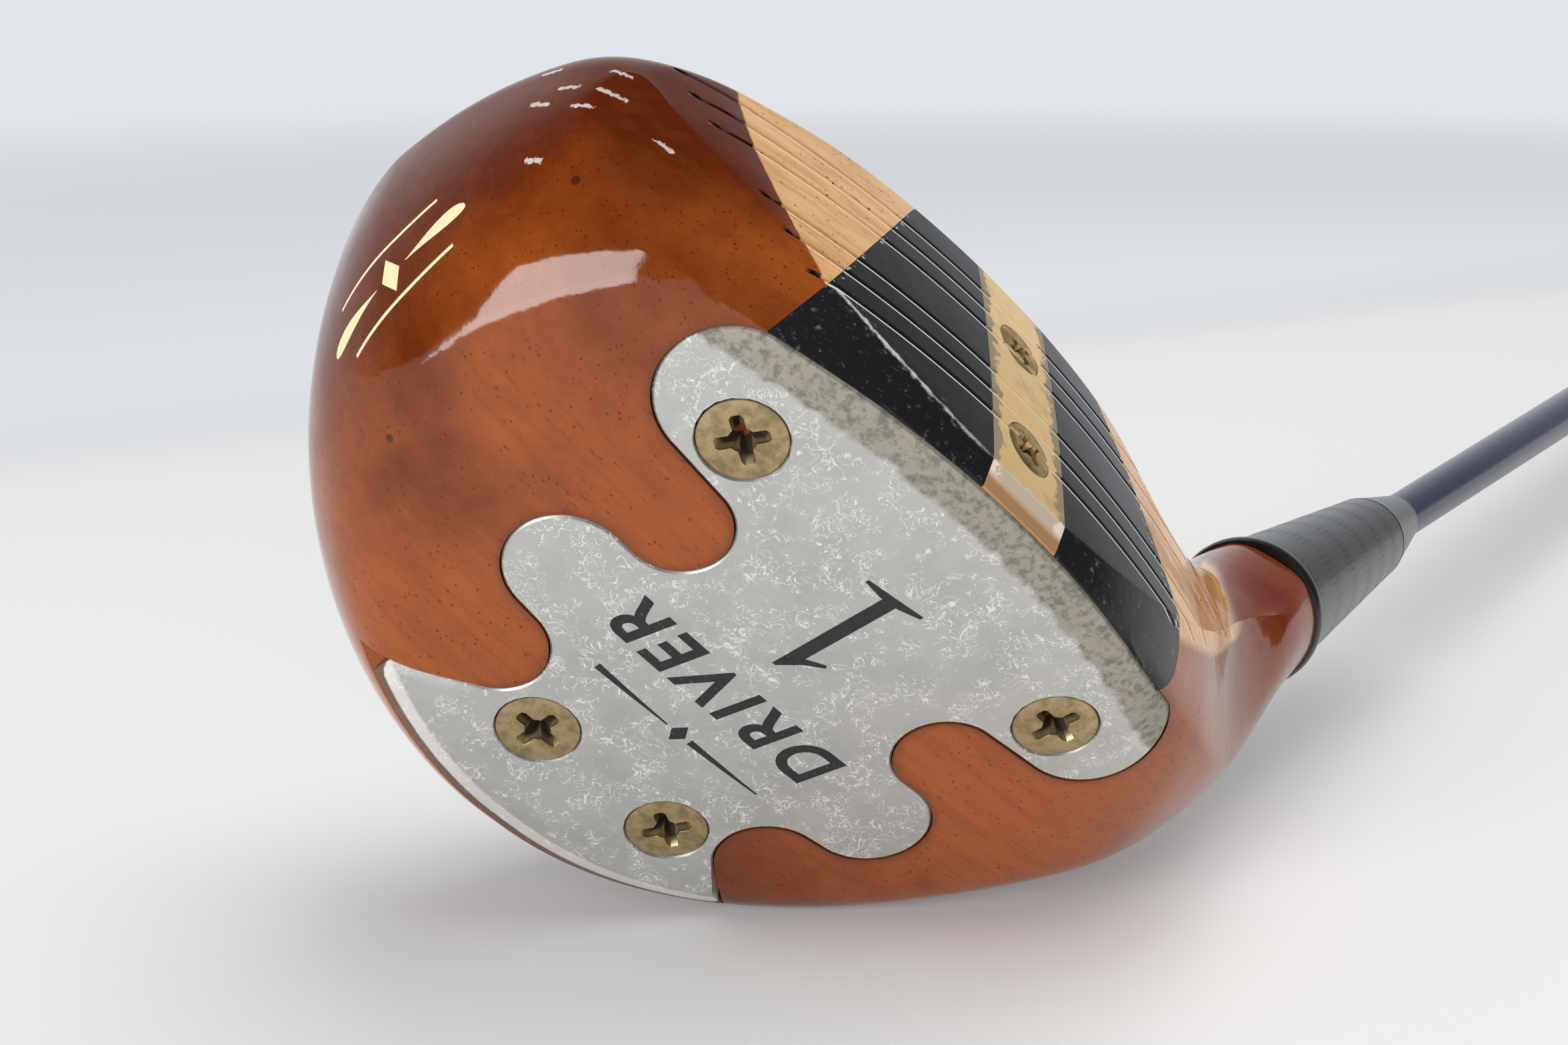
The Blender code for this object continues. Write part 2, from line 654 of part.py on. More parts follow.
def shaft_radius(distance):
    """Outside radius of the shaft: parallel in the neck, then an even taper to the butt."""
    run = (distance - TAPER_FROM) / (CLUB_LENGTH - TAPER_FROM)
    return (SHAFT_TIP_D + (SHAFT_BUTT_D - SHAFT_TIP_D) * max(run, 0.0)) / 2.0


def make_shaft():
    place = aim(AXIS_FOOT, SHAFT_DIR)
    top = CLUB_LENGTH - CAP_T - GAP
    stations = (SHAFT_TIP_AT, TAPER_FROM, top)
    outer = [(shaft_radius(d), d) for d in stations]
    bore = [(shaft_radius(d) - SHAFT_WALL, d) for d in stations]
    shaft = link("shaft", tube("shaft", outer, bore, place, 32), "shaft_paint")
    boolean(shaft, turned("pin_hole", pin_profile(GAP, 6.0), pin_place(), 16))
    reshade(shaft)
    weight_r = SHAFT_TIP_D / 2.0 - SHAFT_WALL - GAP
    weight = [(weight_r, SHAFT_TIP_AT), (weight_r, SHAFT_TIP_AT + TIP_WEIGHT_L)]
    link("tip_weight", turned("tip_weight", weight, place, 24), "lead")
    link("shaft_pin", turned("shaft_pin", pin_profile(), pin_place(), 16), "steel")


def make_neck_fittings():
    """Whipping over the thinned neck with a band at its lower rim, and a ferrule above it."""
    place = aim(AXIS_FOOT, SHAFT_DIR)

    def neck_r(d):
        return NECK_R - WHIP_T + (NECK_TOP_R - NECK_R + WHIP_T) * (d - RIM_AT) / (NECK_TOP - RIM_AT)

    low, high = RIM_AT + GAP, RIM_AT + BAND_L
    outer = [(NECK_R + BAND_PROUD / 2.0, low), (NECK_R + BAND_PROUD, low + BAND_L / 3.0),
             (NECK_R + BAND_PROUD / 2.0, high)]
    band = tube("whipping_band", outer, [(neck_r(low) + GAP, low), (neck_r(high) + GAP, high)], place, 40)
    link("whipping_band", band, "winding")
    low, high = high + GAP, NECK_TOP
    outer = [(neck_r(low) + WHIP_T + 0.2, low), (neck_r(high) + WHIP_T, high)]
    winding = tube("neck_whipping", outer, [(neck_r(low) + GAP, low), (neck_r(high) + GAP, high)], place, 40)
    link("neck_whipping", winding, "winding")
    low = NECK_TOP + GAP
    shaft_r = [shaft_radius(d) + GAP for d in (low, FERRULE_TOP)]
    outer = [(NECK_TOP_R + WHIP_T, low), (shaft_r[1] + 0.35, FERRULE_TOP)]
    ferrule = tube("shaft_ferrule", outer, [(shaft_r[0], low), (shaft_r[1], FERRULE_TOP)], place, 40)
    link("shaft_ferrule", ferrule, "ferrule")


def make_grip():
    """Tape, slip-on sleeve and a vented end cap."""
    place = aim(AXIS_FOOT, SHAFT_DIR)
    top = CLUB_LENGTH - CAP_T
    low = CLUB_LENGTH - GRIP_L
    ends = (low + 4.0, top - 2.0)
    tape_in = [(shaft_radius(d) + GAP, d) for d in ends]
    tape_out = [(r + TAPE_T, d) for r, d in tape_in]
    link("grip_tape", tube("grip_tape", tape_out, tape_in, place, 32), "tape")
    bore = [(shaft_radius(d) + 2.0 * GAP + TAPE_T, d) for d in (low, top - GAP)]
    outer = [(GRIP_LOW_D / 2.0 - 1.0, low), (GRIP_LOW_D / 2.0, low + 2.5), (GRIP_TOP_D / 2.0, top - 14.0),
             (CAP_D / 2.0, top - GAP)]
    link("grip_sleeve", tube("grip_sleeve", outer, bore, place, 40), "rubber")
    vent = 1.6
    outer = [(CAP_D / 2.0, top), (CAP_D / 2.0, top + 2.5), (CAP_D / 2.0 - 3.0, CLUB_LENGTH)]
    cap = tube("grip_cap", outer, [(vent, top), (vent, CLUB_LENGTH)], place, 40)
    link("grip_cap", cap, "rubber")


def lay_down(root):
    """Turn the club to its lying position, its box centred on the origin and standing on Z = 0."""
    turn = lying_rotation()
    low = Vector((math.inf,) * 3)
    high = Vector((-math.inf,) * 3)
    for obj in root.children:
        for vertex in obj.data.vertices:
            at = turn @ vertex.co
            low = Vector(map(min, low, at))
            high = Vector(map(max, high, at))
    shift = Vector(((low.x + high.x) / -2.0, (low.y + high.y) / -2.0, -low.z))
    root.matrix_world = Matrix.Translation(shift) @ turn.to_4x4()


def main():
    for obj in list(bpy.data.objects):
        bpy.data.objects.remove(obj, do_unlink=True)
    root = bpy.data.objects.new("club_lying", None)
    bpy.context.scene.collection.objects.link(root)
    make_head()
    make_plate()
    make_face()
    for name, place in screw_places():
        make_screw(name, place, SCREW_HEAD_D, SCREW_SHANK_D, SCREW_L, "aged_brass")
    make_backweight()
    make_shaft()
    make_neck_fittings()
    make_grip()
    lay_down(root)
    bpy.context.view_layer.update()


main()
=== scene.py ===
"""Wooden golf driver, laid out as an add-on: lacquered head, face insert, sole plate, wound neck, shaft, grip.

Shapes are worked out in the club's own frame in millimetres (+Z up from the sole, the face towards -Y, the
toe towards -X) and are then laid down with the club, in metres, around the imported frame.
"""
import math

import bmesh
import bpy
import numpy as np
from bpy.props import FloatProperty, FloatVectorProperty, IntProperty, PointerProperty
from mathutils import Matrix, Vector
from mathutils.bvhtree import BVHTree
from mathutils.geometry import delaunay_2d_cdt


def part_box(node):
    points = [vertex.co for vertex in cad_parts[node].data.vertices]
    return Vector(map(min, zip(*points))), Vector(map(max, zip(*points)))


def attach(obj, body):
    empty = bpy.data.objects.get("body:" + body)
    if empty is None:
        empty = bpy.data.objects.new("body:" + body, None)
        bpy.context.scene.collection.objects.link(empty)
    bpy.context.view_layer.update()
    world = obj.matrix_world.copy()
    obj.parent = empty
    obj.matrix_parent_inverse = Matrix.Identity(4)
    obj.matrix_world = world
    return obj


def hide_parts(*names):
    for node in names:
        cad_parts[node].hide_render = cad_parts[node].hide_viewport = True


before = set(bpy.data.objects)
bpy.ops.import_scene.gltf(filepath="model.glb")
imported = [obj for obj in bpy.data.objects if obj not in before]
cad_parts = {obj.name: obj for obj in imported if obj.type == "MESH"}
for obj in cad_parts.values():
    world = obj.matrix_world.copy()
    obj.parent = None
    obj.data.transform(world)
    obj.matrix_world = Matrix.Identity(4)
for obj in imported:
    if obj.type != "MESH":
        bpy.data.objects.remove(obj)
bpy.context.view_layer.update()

bl_info = {
    "name": "Wooden Golf Driver",
    "version": (1, 0, 0),
    "blender": (4, 5, 0),
    "location": "View3D > Sidebar > Driver",
    "description": "Builds a lacquered wooden driver around its packed frame",
    "category": "Object",
}

MM = 0.001
GAP = 0.3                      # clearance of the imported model
MERGED = 1e-5                  # points closer than this are one
SEAM = 0.13                    # visible seam between pieces let into each other

# Head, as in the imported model, in mm
TOE_X = -61.1
WIDEST_X = -3.5
BODY_Y = 19.3
BODY_Z = 27.8
FRONT_REACH = 53.2
BACK_REACH = 50.5
CROWN_RISE = 15.9
SOLE_DROP = 37.1
TOE_FRONT_POWER = 2.18
TOE_BACK_POWER = 1.72
SECTION_POWER_UP = 2.21
SECTION_POWER_DOWN = 2.53
TOE_TALL_POWER = 2.2
TOE_LIFT = 3.6
HEEL_FADE = (1.0, 0.61, 1.0, 1.03)
HEEL_LEAVE = 50.0
HEEL_ARRIVE = 44.0
FACE_Y = -16.9
FACE_TILT = math.radians(2.2)
BULGE_RADIUS = 168.0
ROLL_RADIUS = 295.0
FACE_MID_Z = 24.0
SOLE_CAMBER = 290.0
EDGE_Z = 3.1
EDGE_RISE = 101.0
EDGE_MIDDLE = -1.0
WORN_W = 2.4
WORN_SLOPE = 0.16
FACE_HEEL_X = 50.0
FACE_RUN_OUT = 0.03
BEVEL_MIN = 1.5
EDGE_SOFT = 2.4
TOE_SOFT = 5.0                 # softer rounding where the face meets the toe
TOE_SOFT_X = (-27.0, 12.0)     # where that starts and the width it comes in over, then the same in height
TOE_SOFT_Z = (6.0, 8.0)
TOE_TURN = 0.9                 # how far the face turns away past its stain line
TOE_TURN_OVER = 15.0
TOE_SQUARE = 0.35              # the crown side of the toe is squarer towards its tip
LEADING_SOFT = 1.0
CRISP_HALF = 38.0
CRISP_Y = 4.0
CRISP_FADE = 8.0
SOLE_SOFT = 4.0

# Neck, shaft and grip
LIE = math.radians(52.0)
LEAN = math.radians(8.0)
AXIS_FOOT = Vector((26.1, 7.5, 0.0))
RIM_AT = 75.5
NECK_TOP = 128.0
FERRULE_TOP = 145.0
CLUB_LENGTH = 1092.0
NECK_R = 10.1
WHIP_T = 1.2
NECK_TOP_R = 5.6
BAND_L = 3.0
BAND_PROUD = 0.6
BORE_ROOM = 0.1
JOINT = 0.05
THREAD_PITCH = 1.84            # in thread radii, so the turns touch
VARNISH_SUNK = 0.012           # the threads stand this proud of the varnish between them
SHAFT_TIP_AT = 15.0
SHAFT_TIP_D = 7.2
SHAFT_BUTT_D = 15.2
SHAFT_WALL = 1.5
TAPER_FROM = 110.0
GRIP_L = 267.0
GRIP_LOW_D = 20.5
GRIP_TOP_D = 26.5
CAP_T = 6.0
CAP_D = 29.0
VENT_R = 1.6
VENT_CHAMFER = 0.3
FLARE_L = 14.0                 # the grip widens to its cap over this length
TAPER_IN = 2.5
GROOVE = (0.35, 0.7)           # depth and half width of the moulded grooves, and where the two are
GROOVE_LOW = 6.0
GROOVE_TOP = 17.0
STUDS_LOW = 12.0
STUDS_TOP = 24.0
# One stud: half width, thickness and height of its rings, for a length of 1
STUD_RINGS = ((0.5, 0.16, -0.3), (0.5, 0.16, 0.02), (0.42, 0.1, 0.09))
# Cap: how far in from its rim and how far up from its foot, then its turned ring, from the club's end
CAP_SIDE = ((0.4, 0.0), (0.0, 0.4), (0.0, 2.5), (0.8, 4.2), (2.4, 5.6))
CAP_TOP = ((3.2, 0.0), (6.0, 0.0), (6.3, 0.4), (6.9, 0.4), (7.2, 0.0))

# Sole plate, screws and face insert
PLATE_T = 2.6
PLATE_FRONT_Y = -15.6
PLATE_FRONT_R = 110.0
LOBE = (29.5, -2.5, 8.5)
FINGER = (22.1, 12.5, 6.1)
WING = (24.6, 25.8, 7.2)
WAIST = (22.5, 39.6, 6.4)
REAR_CORNER = (28.2, 51.5)
SCREW_FRONT = (25.85, 0.0)
SCREW_REAR = (10.5, 44.5)
SCREW_HEAD_D = 9.6
SCREW_SHANK_D = 4.8
SCREW_L = 17.0
SCREW_TURNS = (63.0, 87.0, 1.0, 65.0)
HOLE_ROOM = 0.09
HOLE_CHAMFER = 0.6
HOLE_STEPS = 72
INSERT_T = 9.6
INSERT_X = -0.7
INSERT_TOE = (33.9, 0.44)
INSERT_HEEL = (37.7, 0.54)
INSERT_CORNER_R = 9.0
INSERT_FOOT_TURN = math.radians(-62.0)
INSERT_FOOT = 8.0
INSERT_BLOCK = 40.0            # cutters and blanks run well past the wood
CUT_HALF = 80.0
CUT_BACK = 30.0
CUT_ROOM = 5.0
SLAB_X = 75.0
SLAB_Y = (-40.0, 110.0)
SLAB_STATIONS = 76
FACE_LOW = -14.0
FACE_HIGH = 70.0
PLATE_LOW = -25.0
PLATE_HIGH = 14.0
STRIP_W = 11.8
STRIP_SCREW_Z = (10.7, 29.0)
STRIP_SCREW_D = 6.6
STRIP_SHANK_D = 3.5
STRIP_SCREW_L = 19.0
STRIP_SCREW_TURN = 38.0
STRIP_HOLE_ROOM = 0.07
STRIP_HOLE = (-2.2, 4.0)
BACKWEIGHT_AT = (0.0, 27.0)
BACKWEIGHT_L = 13.5
LYING_ROLL = math.radians(-44.1)
LYING_PITCH = math.radians(0.574)

# Dark line in the wood round the plate: its width, and how far up and back it reaches
PLATE_LINE_W = 0.55
PLATE_LINE_UP = 5.0
PLATE_LINE_BACK = 75.0
# Plate border: how finely it is found, and where the search for its rear line starts
UNDER_CLUB = -60.0
SIDE_STEPS = 30
CORNER_HALVINGS = 30
REAR_HALVINGS = 26
REAR_STATIONS = 90
REAR_FROM = 35.0
FRONT_STATIONS = 60
LOOP_GAP = 0.05
# The plate sits a little low in the wood at its front toe lobe: depth, then start and run along x and y
LOBE_SUNK = 0.22
LOBE_SUNK_X = (-27.0, 9.0)
LOBE_SUNK_Y = (6.0, 9.0)
PLATE_BACK_ROOM = 0.4

# Score lines: height, toe end and heel end of each, in two groups of three
SCORES = ((11.5, -32.6, 40.2), (15.3, -35.9, 46.0), (19.2, -38.9, 50.5),
          (27.0, -45.0, 52.0), (30.8, -47.4, 52.0), (34.6, -49.6, 50.0))
# Edge of the dark stain on the toe side of the face: x = start - fall * u + bend * u * u, u above the corner
STAIN = (-30.7, 11.6, 0.80, 0.014)
# How far below each score line its painted highlight lies
HIGHLIGHT_BELOW = 0.52
SCORE_STATIONS = 70
SCORE_RUN_OUT = 2.5            # a score line comes up to the surface over this length at each end
SCORE_PROUD = 3.0
# Scuffs on the toe: two ends each, in the club's frame
SCUFFS = (((-58.4, 1.4, 25.6), (-57.9, -0.4, 24.6)), ((-56.6, -3.0, 23.0), (-55.9, -4.4, 22.7)),
          ((-57.5, -1.6, 26.9), (-56.8, -3.2, 26.4)), ((-55.4, -5.2, 25.6), (-54.7, -6.6, 25.0)),
          ((-58.2, 0.6, 31.1), (-57.7, -1.0, 31.0)), ((-55.3, -6.1, 29.2), (-54.8, -7.0, 28.8)),
          ((-49.3, -8.0, 20.4), (-48.8, -8.5, 19.8)), ((-56.7, 2.2, 17.6), (-56.3, 0.9, 17.0)))

SHAFT_DIR = Vector((math.cos(LIE), -math.sin(LIE) * math.sin(LEAN), math.sin(LIE) * math.cos(LEAN)))


# ---------------------------------------------------------------- finishes: zones in mm, colours linear
GRAIN_TURN = (0.0, 0.12, 0.2)
TOEWARD = (-8.0, -62.0)        # the wood darkens from the first to the second: painted shade, partly a deeper stain
UPWARD = (8.0, 34.0)
REARWARD = (14.0, 55.0)
REAR_HEELWARD = (-22.0, 8.0)
HEELWARD = (38.0, 70.0)
NECKWARD = (50.0, 62.0)
GRAIN_BROWN = (0.16, 0.030, 0.005)
NECK_BROWN = (0.20, 0.036, 0.010)
NECK_PATCH_AT = (64.5, -8.0, 51.0)
NECK_PATCH_RED = (0.16, 0.010, 0.006)
FACE_GRAIN = (0.60, 0.31, 0.115)
HEEL_LINE = (30.0, 28.8)       # the bare wood ends here at the heel, less this much of the height
HEEL_LINE_LEAN = 0.75
NECK_LINE = (58.0, 54.0)
PORE_BROWN = (0.045, 0.011, 0.004)
PLATE_LINE_BROWN = (0.07, 0.016, 0.005)
SCUFF_PALE = (0.62, 0.55, 0.52)
SCUFF_SQUEEZE = 0.12           # scuffs are told apart by height and depth more than along x
SCORE_HIGHLIGHT_PALE = (0.93, 0.82, 0.70)
SCORE_BLACK = (0.006, 0.003, 0.002)
INSERT_BLACK = (0.012, 0.012, 0.013)
INSERT_HAIR = (0.16, 0.16, 0.165)
INSERT_DUST = (0.22, 0.21, 0.20)
INSERT_CHIP = (0.75, 0.72, 0.66)
INSERT_SCORE_HIGHLIGHT = (0.70, 0.71, 0.72)
INSERT_CREASE_HIGHLIGHT = (0.50, 0.51, 0.52)
BRASS_BRIGHT = (1.0, 0.72, 0.32)
BRASS_DEEP = (0.84, 0.55, 0.21)
BRASS_CLOUD = (0.42, 0.27, 0.11)
BRASS_FILM = (0.20, 0.175, 0.14)
BRASS_WORN = (0.93, 0.80, 0.66)
BRASS_UNDER_SHADE = (0.34, 0.15, 0.035)
BRASS_SCORE_HIGHLIGHT = (0.95, 0.92, 0.86)
PLATE_GRIME = (0.51, 0.51, 0.49)
PLATE_HAIR = (0.72, 0.73, 0.73)
PLATE_CURL = (0.86, 0.86, 0.84)
PLATE_BAND = (0.30, 0.27, 0.21)
PLATE_BAND_PIT = (0.13, 0.115, 0.09)
PLATE_BEVEL_HIGHLIGHT = (0.92, 0.90, 0.86)
PLATE_RIM = (0.17, 0.075, 0.025)
PLATE_BORDER_DARK = (0.12, 0.09, 0.06)
SCREW_BRASS = (0.50, 0.385, 0.20)
SCREW_DIRT = (0.035, 0.024, 0.012)
STRIP_SCREW_BRASS = (0.92, 0.64, 0.27)
STRIP_SCREW_DIRT = (0.012, 0.009, 0.006)
PRINT_BLACK = (0.010, 0.010, 0.011)
PRINT_CREAM = (0.80, 0.66, 0.38)


# ---------------------------------------------------------------- settings
class HeadSettings(bpy.types.PropertyGroup):
    """Lacquered wood of the head."""

    stain: FloatVectorProperty(name="Stain", description="Orange stain on the sole side", subtype="COLOR",
                               size=3, default=(0.315, 0.073, 0.010))
    stain_dark: FloatVectorProperty(name="Dark stain", description="Redder stain towards toe and crown",
                                    subtype="COLOR", size=3, default=(0.090, 0.0125, 0.001))
    bare: FloatVectorProperty(name="Face wood", description="Clear-lacquered wood of the face", subtype="COLOR",
                              size=3, default=(0.74, 0.43, 0.18))
    score_width: FloatProperty(name="Score width", description="Width of a score line", unit="LENGTH",
                               default=0.00075, min=0.0002, max=0.002)
    score_depth: FloatProperty(name="Score depth", description="Depth of a score line", unit="LENGTH",
                               default=0.0005, min=0.0001, max=0.002)


class PlateSettings(bpy.types.PropertyGroup):
    """Sole plate and what is marked on it."""

    metal: FloatVectorProperty(name="Metal", description="Satin aluminium", subtype="COLOR", size=3,
                               default=(0.58, 0.575, 0.55))
    chamfer: FloatProperty(name="Chamfer", description="Worn edge of the plate", unit="LENGTH",
                           default=0.00028, min=0.00005, max=0.001)
    letter_height: FloatProperty(name="Letter height", description="Height of the generic word",
                                 unit="LENGTH", default=0.0062, min=0.001, max=0.01)


class NeckSettings(bpy.types.PropertyGroup):
    """Thread wound on the neck."""

    thread: FloatProperty(name="Thread", description="Diameter of the whipping thread", unit="LENGTH",
                          default=0.00045, min=0.0002, max=0.001)
    thread_sides: IntProperty(name="Thread sides", description="Sides of the thread's section", default=6,
                              min=4, max=12)


class GripSettings(bpy.types.PropertyGroup):
    """Slip-on rubber grip."""

    rows: IntProperty(name="Rows", description="Rows of raised studs along the grip", default=46, min=4,
                      max=120)
    around: IntProperty(name="Studs around", description="Studs in one row", default=16, min=4, max=40)
    stud: FloatProperty(name="Stud length", description="Length of a stud along the grip", unit="LENGTH",
                        default=0.0036, min=0.001, max=0.01)


class StageSettings(bpy.types.PropertyGroup):
    """Floor, light and camera."""

    lens: FloatProperty(name="Lens", description="Focal length of the camera", unit="CAMERA", default=52.1,
                        min=10.0, max=200.0)
    key: FloatProperty(name="Key light", description="Power of the window light", unit="POWER", default=4.8,
                       min=0.0, max=500.0)
    sky: FloatProperty(name="Sky", description="Strength of the surrounding light", default=0.85, min=0.0,
                       max=5.0)


SETTINGS = {"head": HeadSettings, "plate": PlateSettings, "neck": NeckSettings, "grip": GripSettings,
            "stage": StageSettings}


def settings(group):
    return getattr(bpy.context.scene, "driver_" + group)


# ---------------------------------------------------------------- placing
def lying_rotation():
    """Rotation from the club's frame to the lying club: shaft along +X, then roll and pitch."""
    along = SHAFT_DIR.normalized()
    side = Vector((0.0, 0.0, 1.0)).cross(along).normalized()
    level = Matrix((along, side, along.cross(side)))
    return Matrix.Rotation(LYING_PITCH, 3, "Y") @ Matrix.Rotation(LYING_ROLL, 3, "X") @ level


def club_to_row():
    """Matrix from the club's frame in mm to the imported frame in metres, set by the lead's own box."""
    low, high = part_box("backweight_lead")
    there = (Vector(low) + Vector(high)) / 2.0
    middle = PLATE_T + GAP + BACKWEIGHT_L / 2.0
    turn = lying_rotation()
    shift = there - turn @ Vector((*BACKWEIGHT_AT, middle)) * MM
    return Matrix.Translation(shift) @ turn.to_4x4() @ Matrix.Scale(MM, 4)


TO_ROW = club_to_row()


def on_axis(distance):
    """Point on the shaft's axis, at a distance from the sole plane."""
    return AXIS_FOOT + SHAFT_DIR * distance


def aim(origin, direction):
    """Matrix that takes +Z to a direction, at an origin in mm."""
    return Matrix.Translation(origin) @ Vector(direction).to_track_quat("Z", "Y").to_matrix().to_4x4()


# ---------------------------------------------------------------- mesh helpers
def mesh_of(name, verts, faces):
    """Mesh from points and faces, its doubles merged and its normals turned outwards."""
    bm = bmesh.new()
    made = [bm.verts.new(v) for v in verts]
    for face in faces:
        bm.faces.new([made[i] for i in face])
    bmesh.ops.remove_doubles(bm, verts=bm.verts, dist=MERGED)
    bmesh.ops.recalc_face_normals(bm, faces=bm.faces)
    mesh = bpy.data.meshes.new(name)
    bm.to_mesh(mesh)
    bm.free()
    return mesh


def ring_mesh(name, rings, closed=False):
    """Skin over rings of points: capped at both ends, or joined end to end."""
    count = len(rings[0])
    verts = [tuple(p) for ring in rings for p in ring]
    faces = []
    last = len(rings) if closed else len(rings) - 1
    for i in range(last):
        m = (i + 1) % len(rings)
        for j in range(count):
            k = (j + 1) % count
            faces.append((i * count + j, i * count + k, m * count + k, m * count + j))
    if not closed:
        faces.append(tuple(range(count))[::-1])
        faces.append(tuple(range(len(verts) - count, len(verts))))
    return mesh_of(name, verts, faces)


def turned_rings(profile, place, steps):
    angles = [2.0 * math.pi * i / steps for i in range(steps)]
    return [[place @ Vector((r * math.cos(a), r * math.sin(a), h)) for a in angles] for r, h in profile]


def turned(name, profile, place, steps=64):
    """Solid turned about its own axis from (radius, height) pairs, low end first."""
    return ring_mesh(name, turned_rings(profile, place, steps))


def tube(name, outer, bore, place, steps=96):
    """Turned sleeve: the outer profile one way, the bore's profile back."""
    return ring_mesh(name, turned_rings(list(outer) + list(reversed(bore)), place, steps), closed=True)


def box_mesh(name, x0, x1, y0, y1, z0, z1):
    verts = [(x, y, z) for x in (x0, x1) for y in (y0, y1) for z in (z0, z1)]
    faces = [(0, 1, 3, 2), (4, 6, 7, 5), (0, 4, 5, 1), (2, 3, 7, 6), (0, 2, 6, 4), (1, 5, 7, 3)]
    return mesh_of(name, verts, faces)


def link(name, mesh):
    obj = bpy.data.objects.new(name, mesh)
    bpy.context.scene.collection.objects.link(obj)
    return obj


def cut(obj, cutter_mesh, operation="DIFFERENCE", solver="MANIFOLD"):
    """Cut an object, still in mm, with a mesh in mm, and drop the cutter."""
    cutter = link("cutter", cutter_mesh)
    modifier = obj.modifiers.new("cut", "BOOLEAN")
    modifier.operation = operation
    modifier.solver = solver
    modifier.object = cutter
    result = evaluated_mesh(obj)
    obj.modifiers.clear()
    old = obj.data
    obj.data = result
    bpy.data.meshes.remove(old)
    bpy.data.objects.remove(cutter)
    if not result.polygons:
        raise RuntimeError(f"nothing is left of {obj.name} after a cut")


def evaluated_mesh(obj):
    bpy.context.view_layer.update()
    depsgraph = bpy.context.evaluated_depsgraph_get()
    return bpy.data.meshes.new_from_object(obj.evaluated_get(depsgraph))


def joined(name, meshes):
    """One mesh from several, which are dropped."""
    bm = bmesh.new()
    for mesh in meshes:
        bm.from_mesh(mesh)
        bpy.data.meshes.remove(mesh)
    out = bpy.data.meshes.new(name)
    bm.to_mesh(out)
    bm.free()
    return out


def settle(obj, material, slot, *nodes, crisp=32.0):
    """Lay a finished piece down, shade it, hang it on the root body, and hide the packed pieces that it stands
    for.
    """
    mesh = obj.data
    count = len(mesh.vertices)
    flat = np.empty(count * 3)
    mesh.vertices.foreach_get("co", flat)
    attribute = mesh.attributes.new("club", "FLOAT_VECTOR", "POINT")
    attribute.data.foreach_set("vector", flat)
    mesh.transform(TO_ROW)
    mesh.materials.clear()
    mesh.materials.append(material)
    mesh.shade_smooth()
    mesh.set_sharp_from_angle(angle=math.radians(crisp))
    mesh.update()
    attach(obj, "root")
    if nodes:
        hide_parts(*nodes)
    return obj


# ---------------------------------------------------------------- head surface
def soft_max(a, b, width):
    """The larger of two values, blended over a width."""
    mix = np.clip(0.5 + 0.5 * (a - b) / width, 0.0, 1.0)
    return b * (1.0 - mix) + a * mix + width * mix * (1.0 - mix)


def smooth(t):
    t = np.clip(t, 0.0, 1.0)
    return t * t * (3.0 - 2.0 * t)


def stain_x(z):
    """Where the dark stain ends on the toe side of the face, which is where the face starts to turn away."""
    start, foot, fall, bend = STAIN
    u = np.clip(z - foot, 0.0, fall / bend / 2.0)
    return start - fall * u + bend * u * u


def face_y(x, z):
    """Front surface: tilted, with bulge across and roll up the face, turning away past the stain at the toe."""
    bulge = x ** 2 / (2.0 * BULGE_RADIUS)
    roll = (z - FACE_MID_Z) ** 2 / (2.0 * ROLL_RADIUS)
    run_out = FACE_RUN_OUT * np.maximum(x - FACE_HEEL_X, 0.0) ** 2
    turned_away = TOE_TURN * smooth((stain_x(z) - x) / TOE_TURN_OVER)
    return FACE_Y + (z - FACE_MID_Z) * math.tan(FACE_TILT) + bulge + roll - run_out + turned_away


def sole_z(x):
    return x ** 2 / (2.0 * SOLE_CAMBER)


def plate_front_y(x):
    return PLATE_FRONT_Y + x ** 2 / (2.0 * PLATE_FRONT_R)


def edge_z(x):
    """Height of the leading edge, which climbs towards heel and toe."""
    return EDGE_Z + (x - EDGE_MIDDLE) ** 2 / EDGE_RISE


def under_z(x, y):
    """Sole surface, with the bevel that rises from the plate to the leading edge."""
    edge = edge_z(x)
    front = plate_front_y(x)
    depth = np.maximum(front - face_y(x, edge), BEVEL_MIN)
    slope = (edge - sole_z(x)) / depth
    worn = WORN_SLOPE * np.clip(front + WORN_W - y, 0.0, WORN_W)
    return sole_z(x) + worn + slope * np.maximum(front - y, 0.0)


def signed_power(value, power):
    return np.sign(value) * np.abs(value) ** power


def section(centre, across, upward, reach, powers, count):
    """One closed cross-section: reach is (front, back, up, down)."""
    angle = np.linspace(0.0, 2.0 * np.pi, count, endpoint=False)
    c, s = np.cos(angle), np.sin(angle)
    power = np.where(s >= 0.0, 2.0 / powers[0], 2.0 / powers[1])
    width = np.where(c < 0.0, reach[0], reach[1]) * signed_power(c, power)
    height = np.where(s >= 0.0, reach[2], reach[3]) * signed_power(s, power)
    return centre + np.outer(width, across) + np.outer(height, upward)


def toe_sections(rings, count):
    """Sections square to X, closing towards the toe."""
    made = []
    for turn in np.linspace(0.04, np.pi / 2.0, rings):
        run = math.cos(turn)
        front = (1.0 - run ** TOE_FRONT_POWER) ** (1.0 / TOE_FRONT_POWER)
        back = (1.0 - run ** TOE_BACK_POWER) ** (1.0 / TOE_BACK_POWER)
        tall = (1.0 - run ** TOE_TALL_POWER) ** (1.0 / TOE_TALL_POWER)
        centre = np.array((WIDEST_X + (TOE_X - WIDEST_X) * run, BODY_Y, BODY_Z + TOE_LIFT * (1.0 - tall)))
        reach = (FRONT_REACH * front, BACK_REACH * back, CROWN_RISE * tall, SOLE_DROP * tall)
        made.append(section(centre, np.array((0.0, 1.0, 0.0)), np.array((0.0, 0.0, 1.0)), reach,
                            (SECTION_POWER_UP + TOE_SQUARE * run, SECTION_POWER_DOWN), count))
    return made


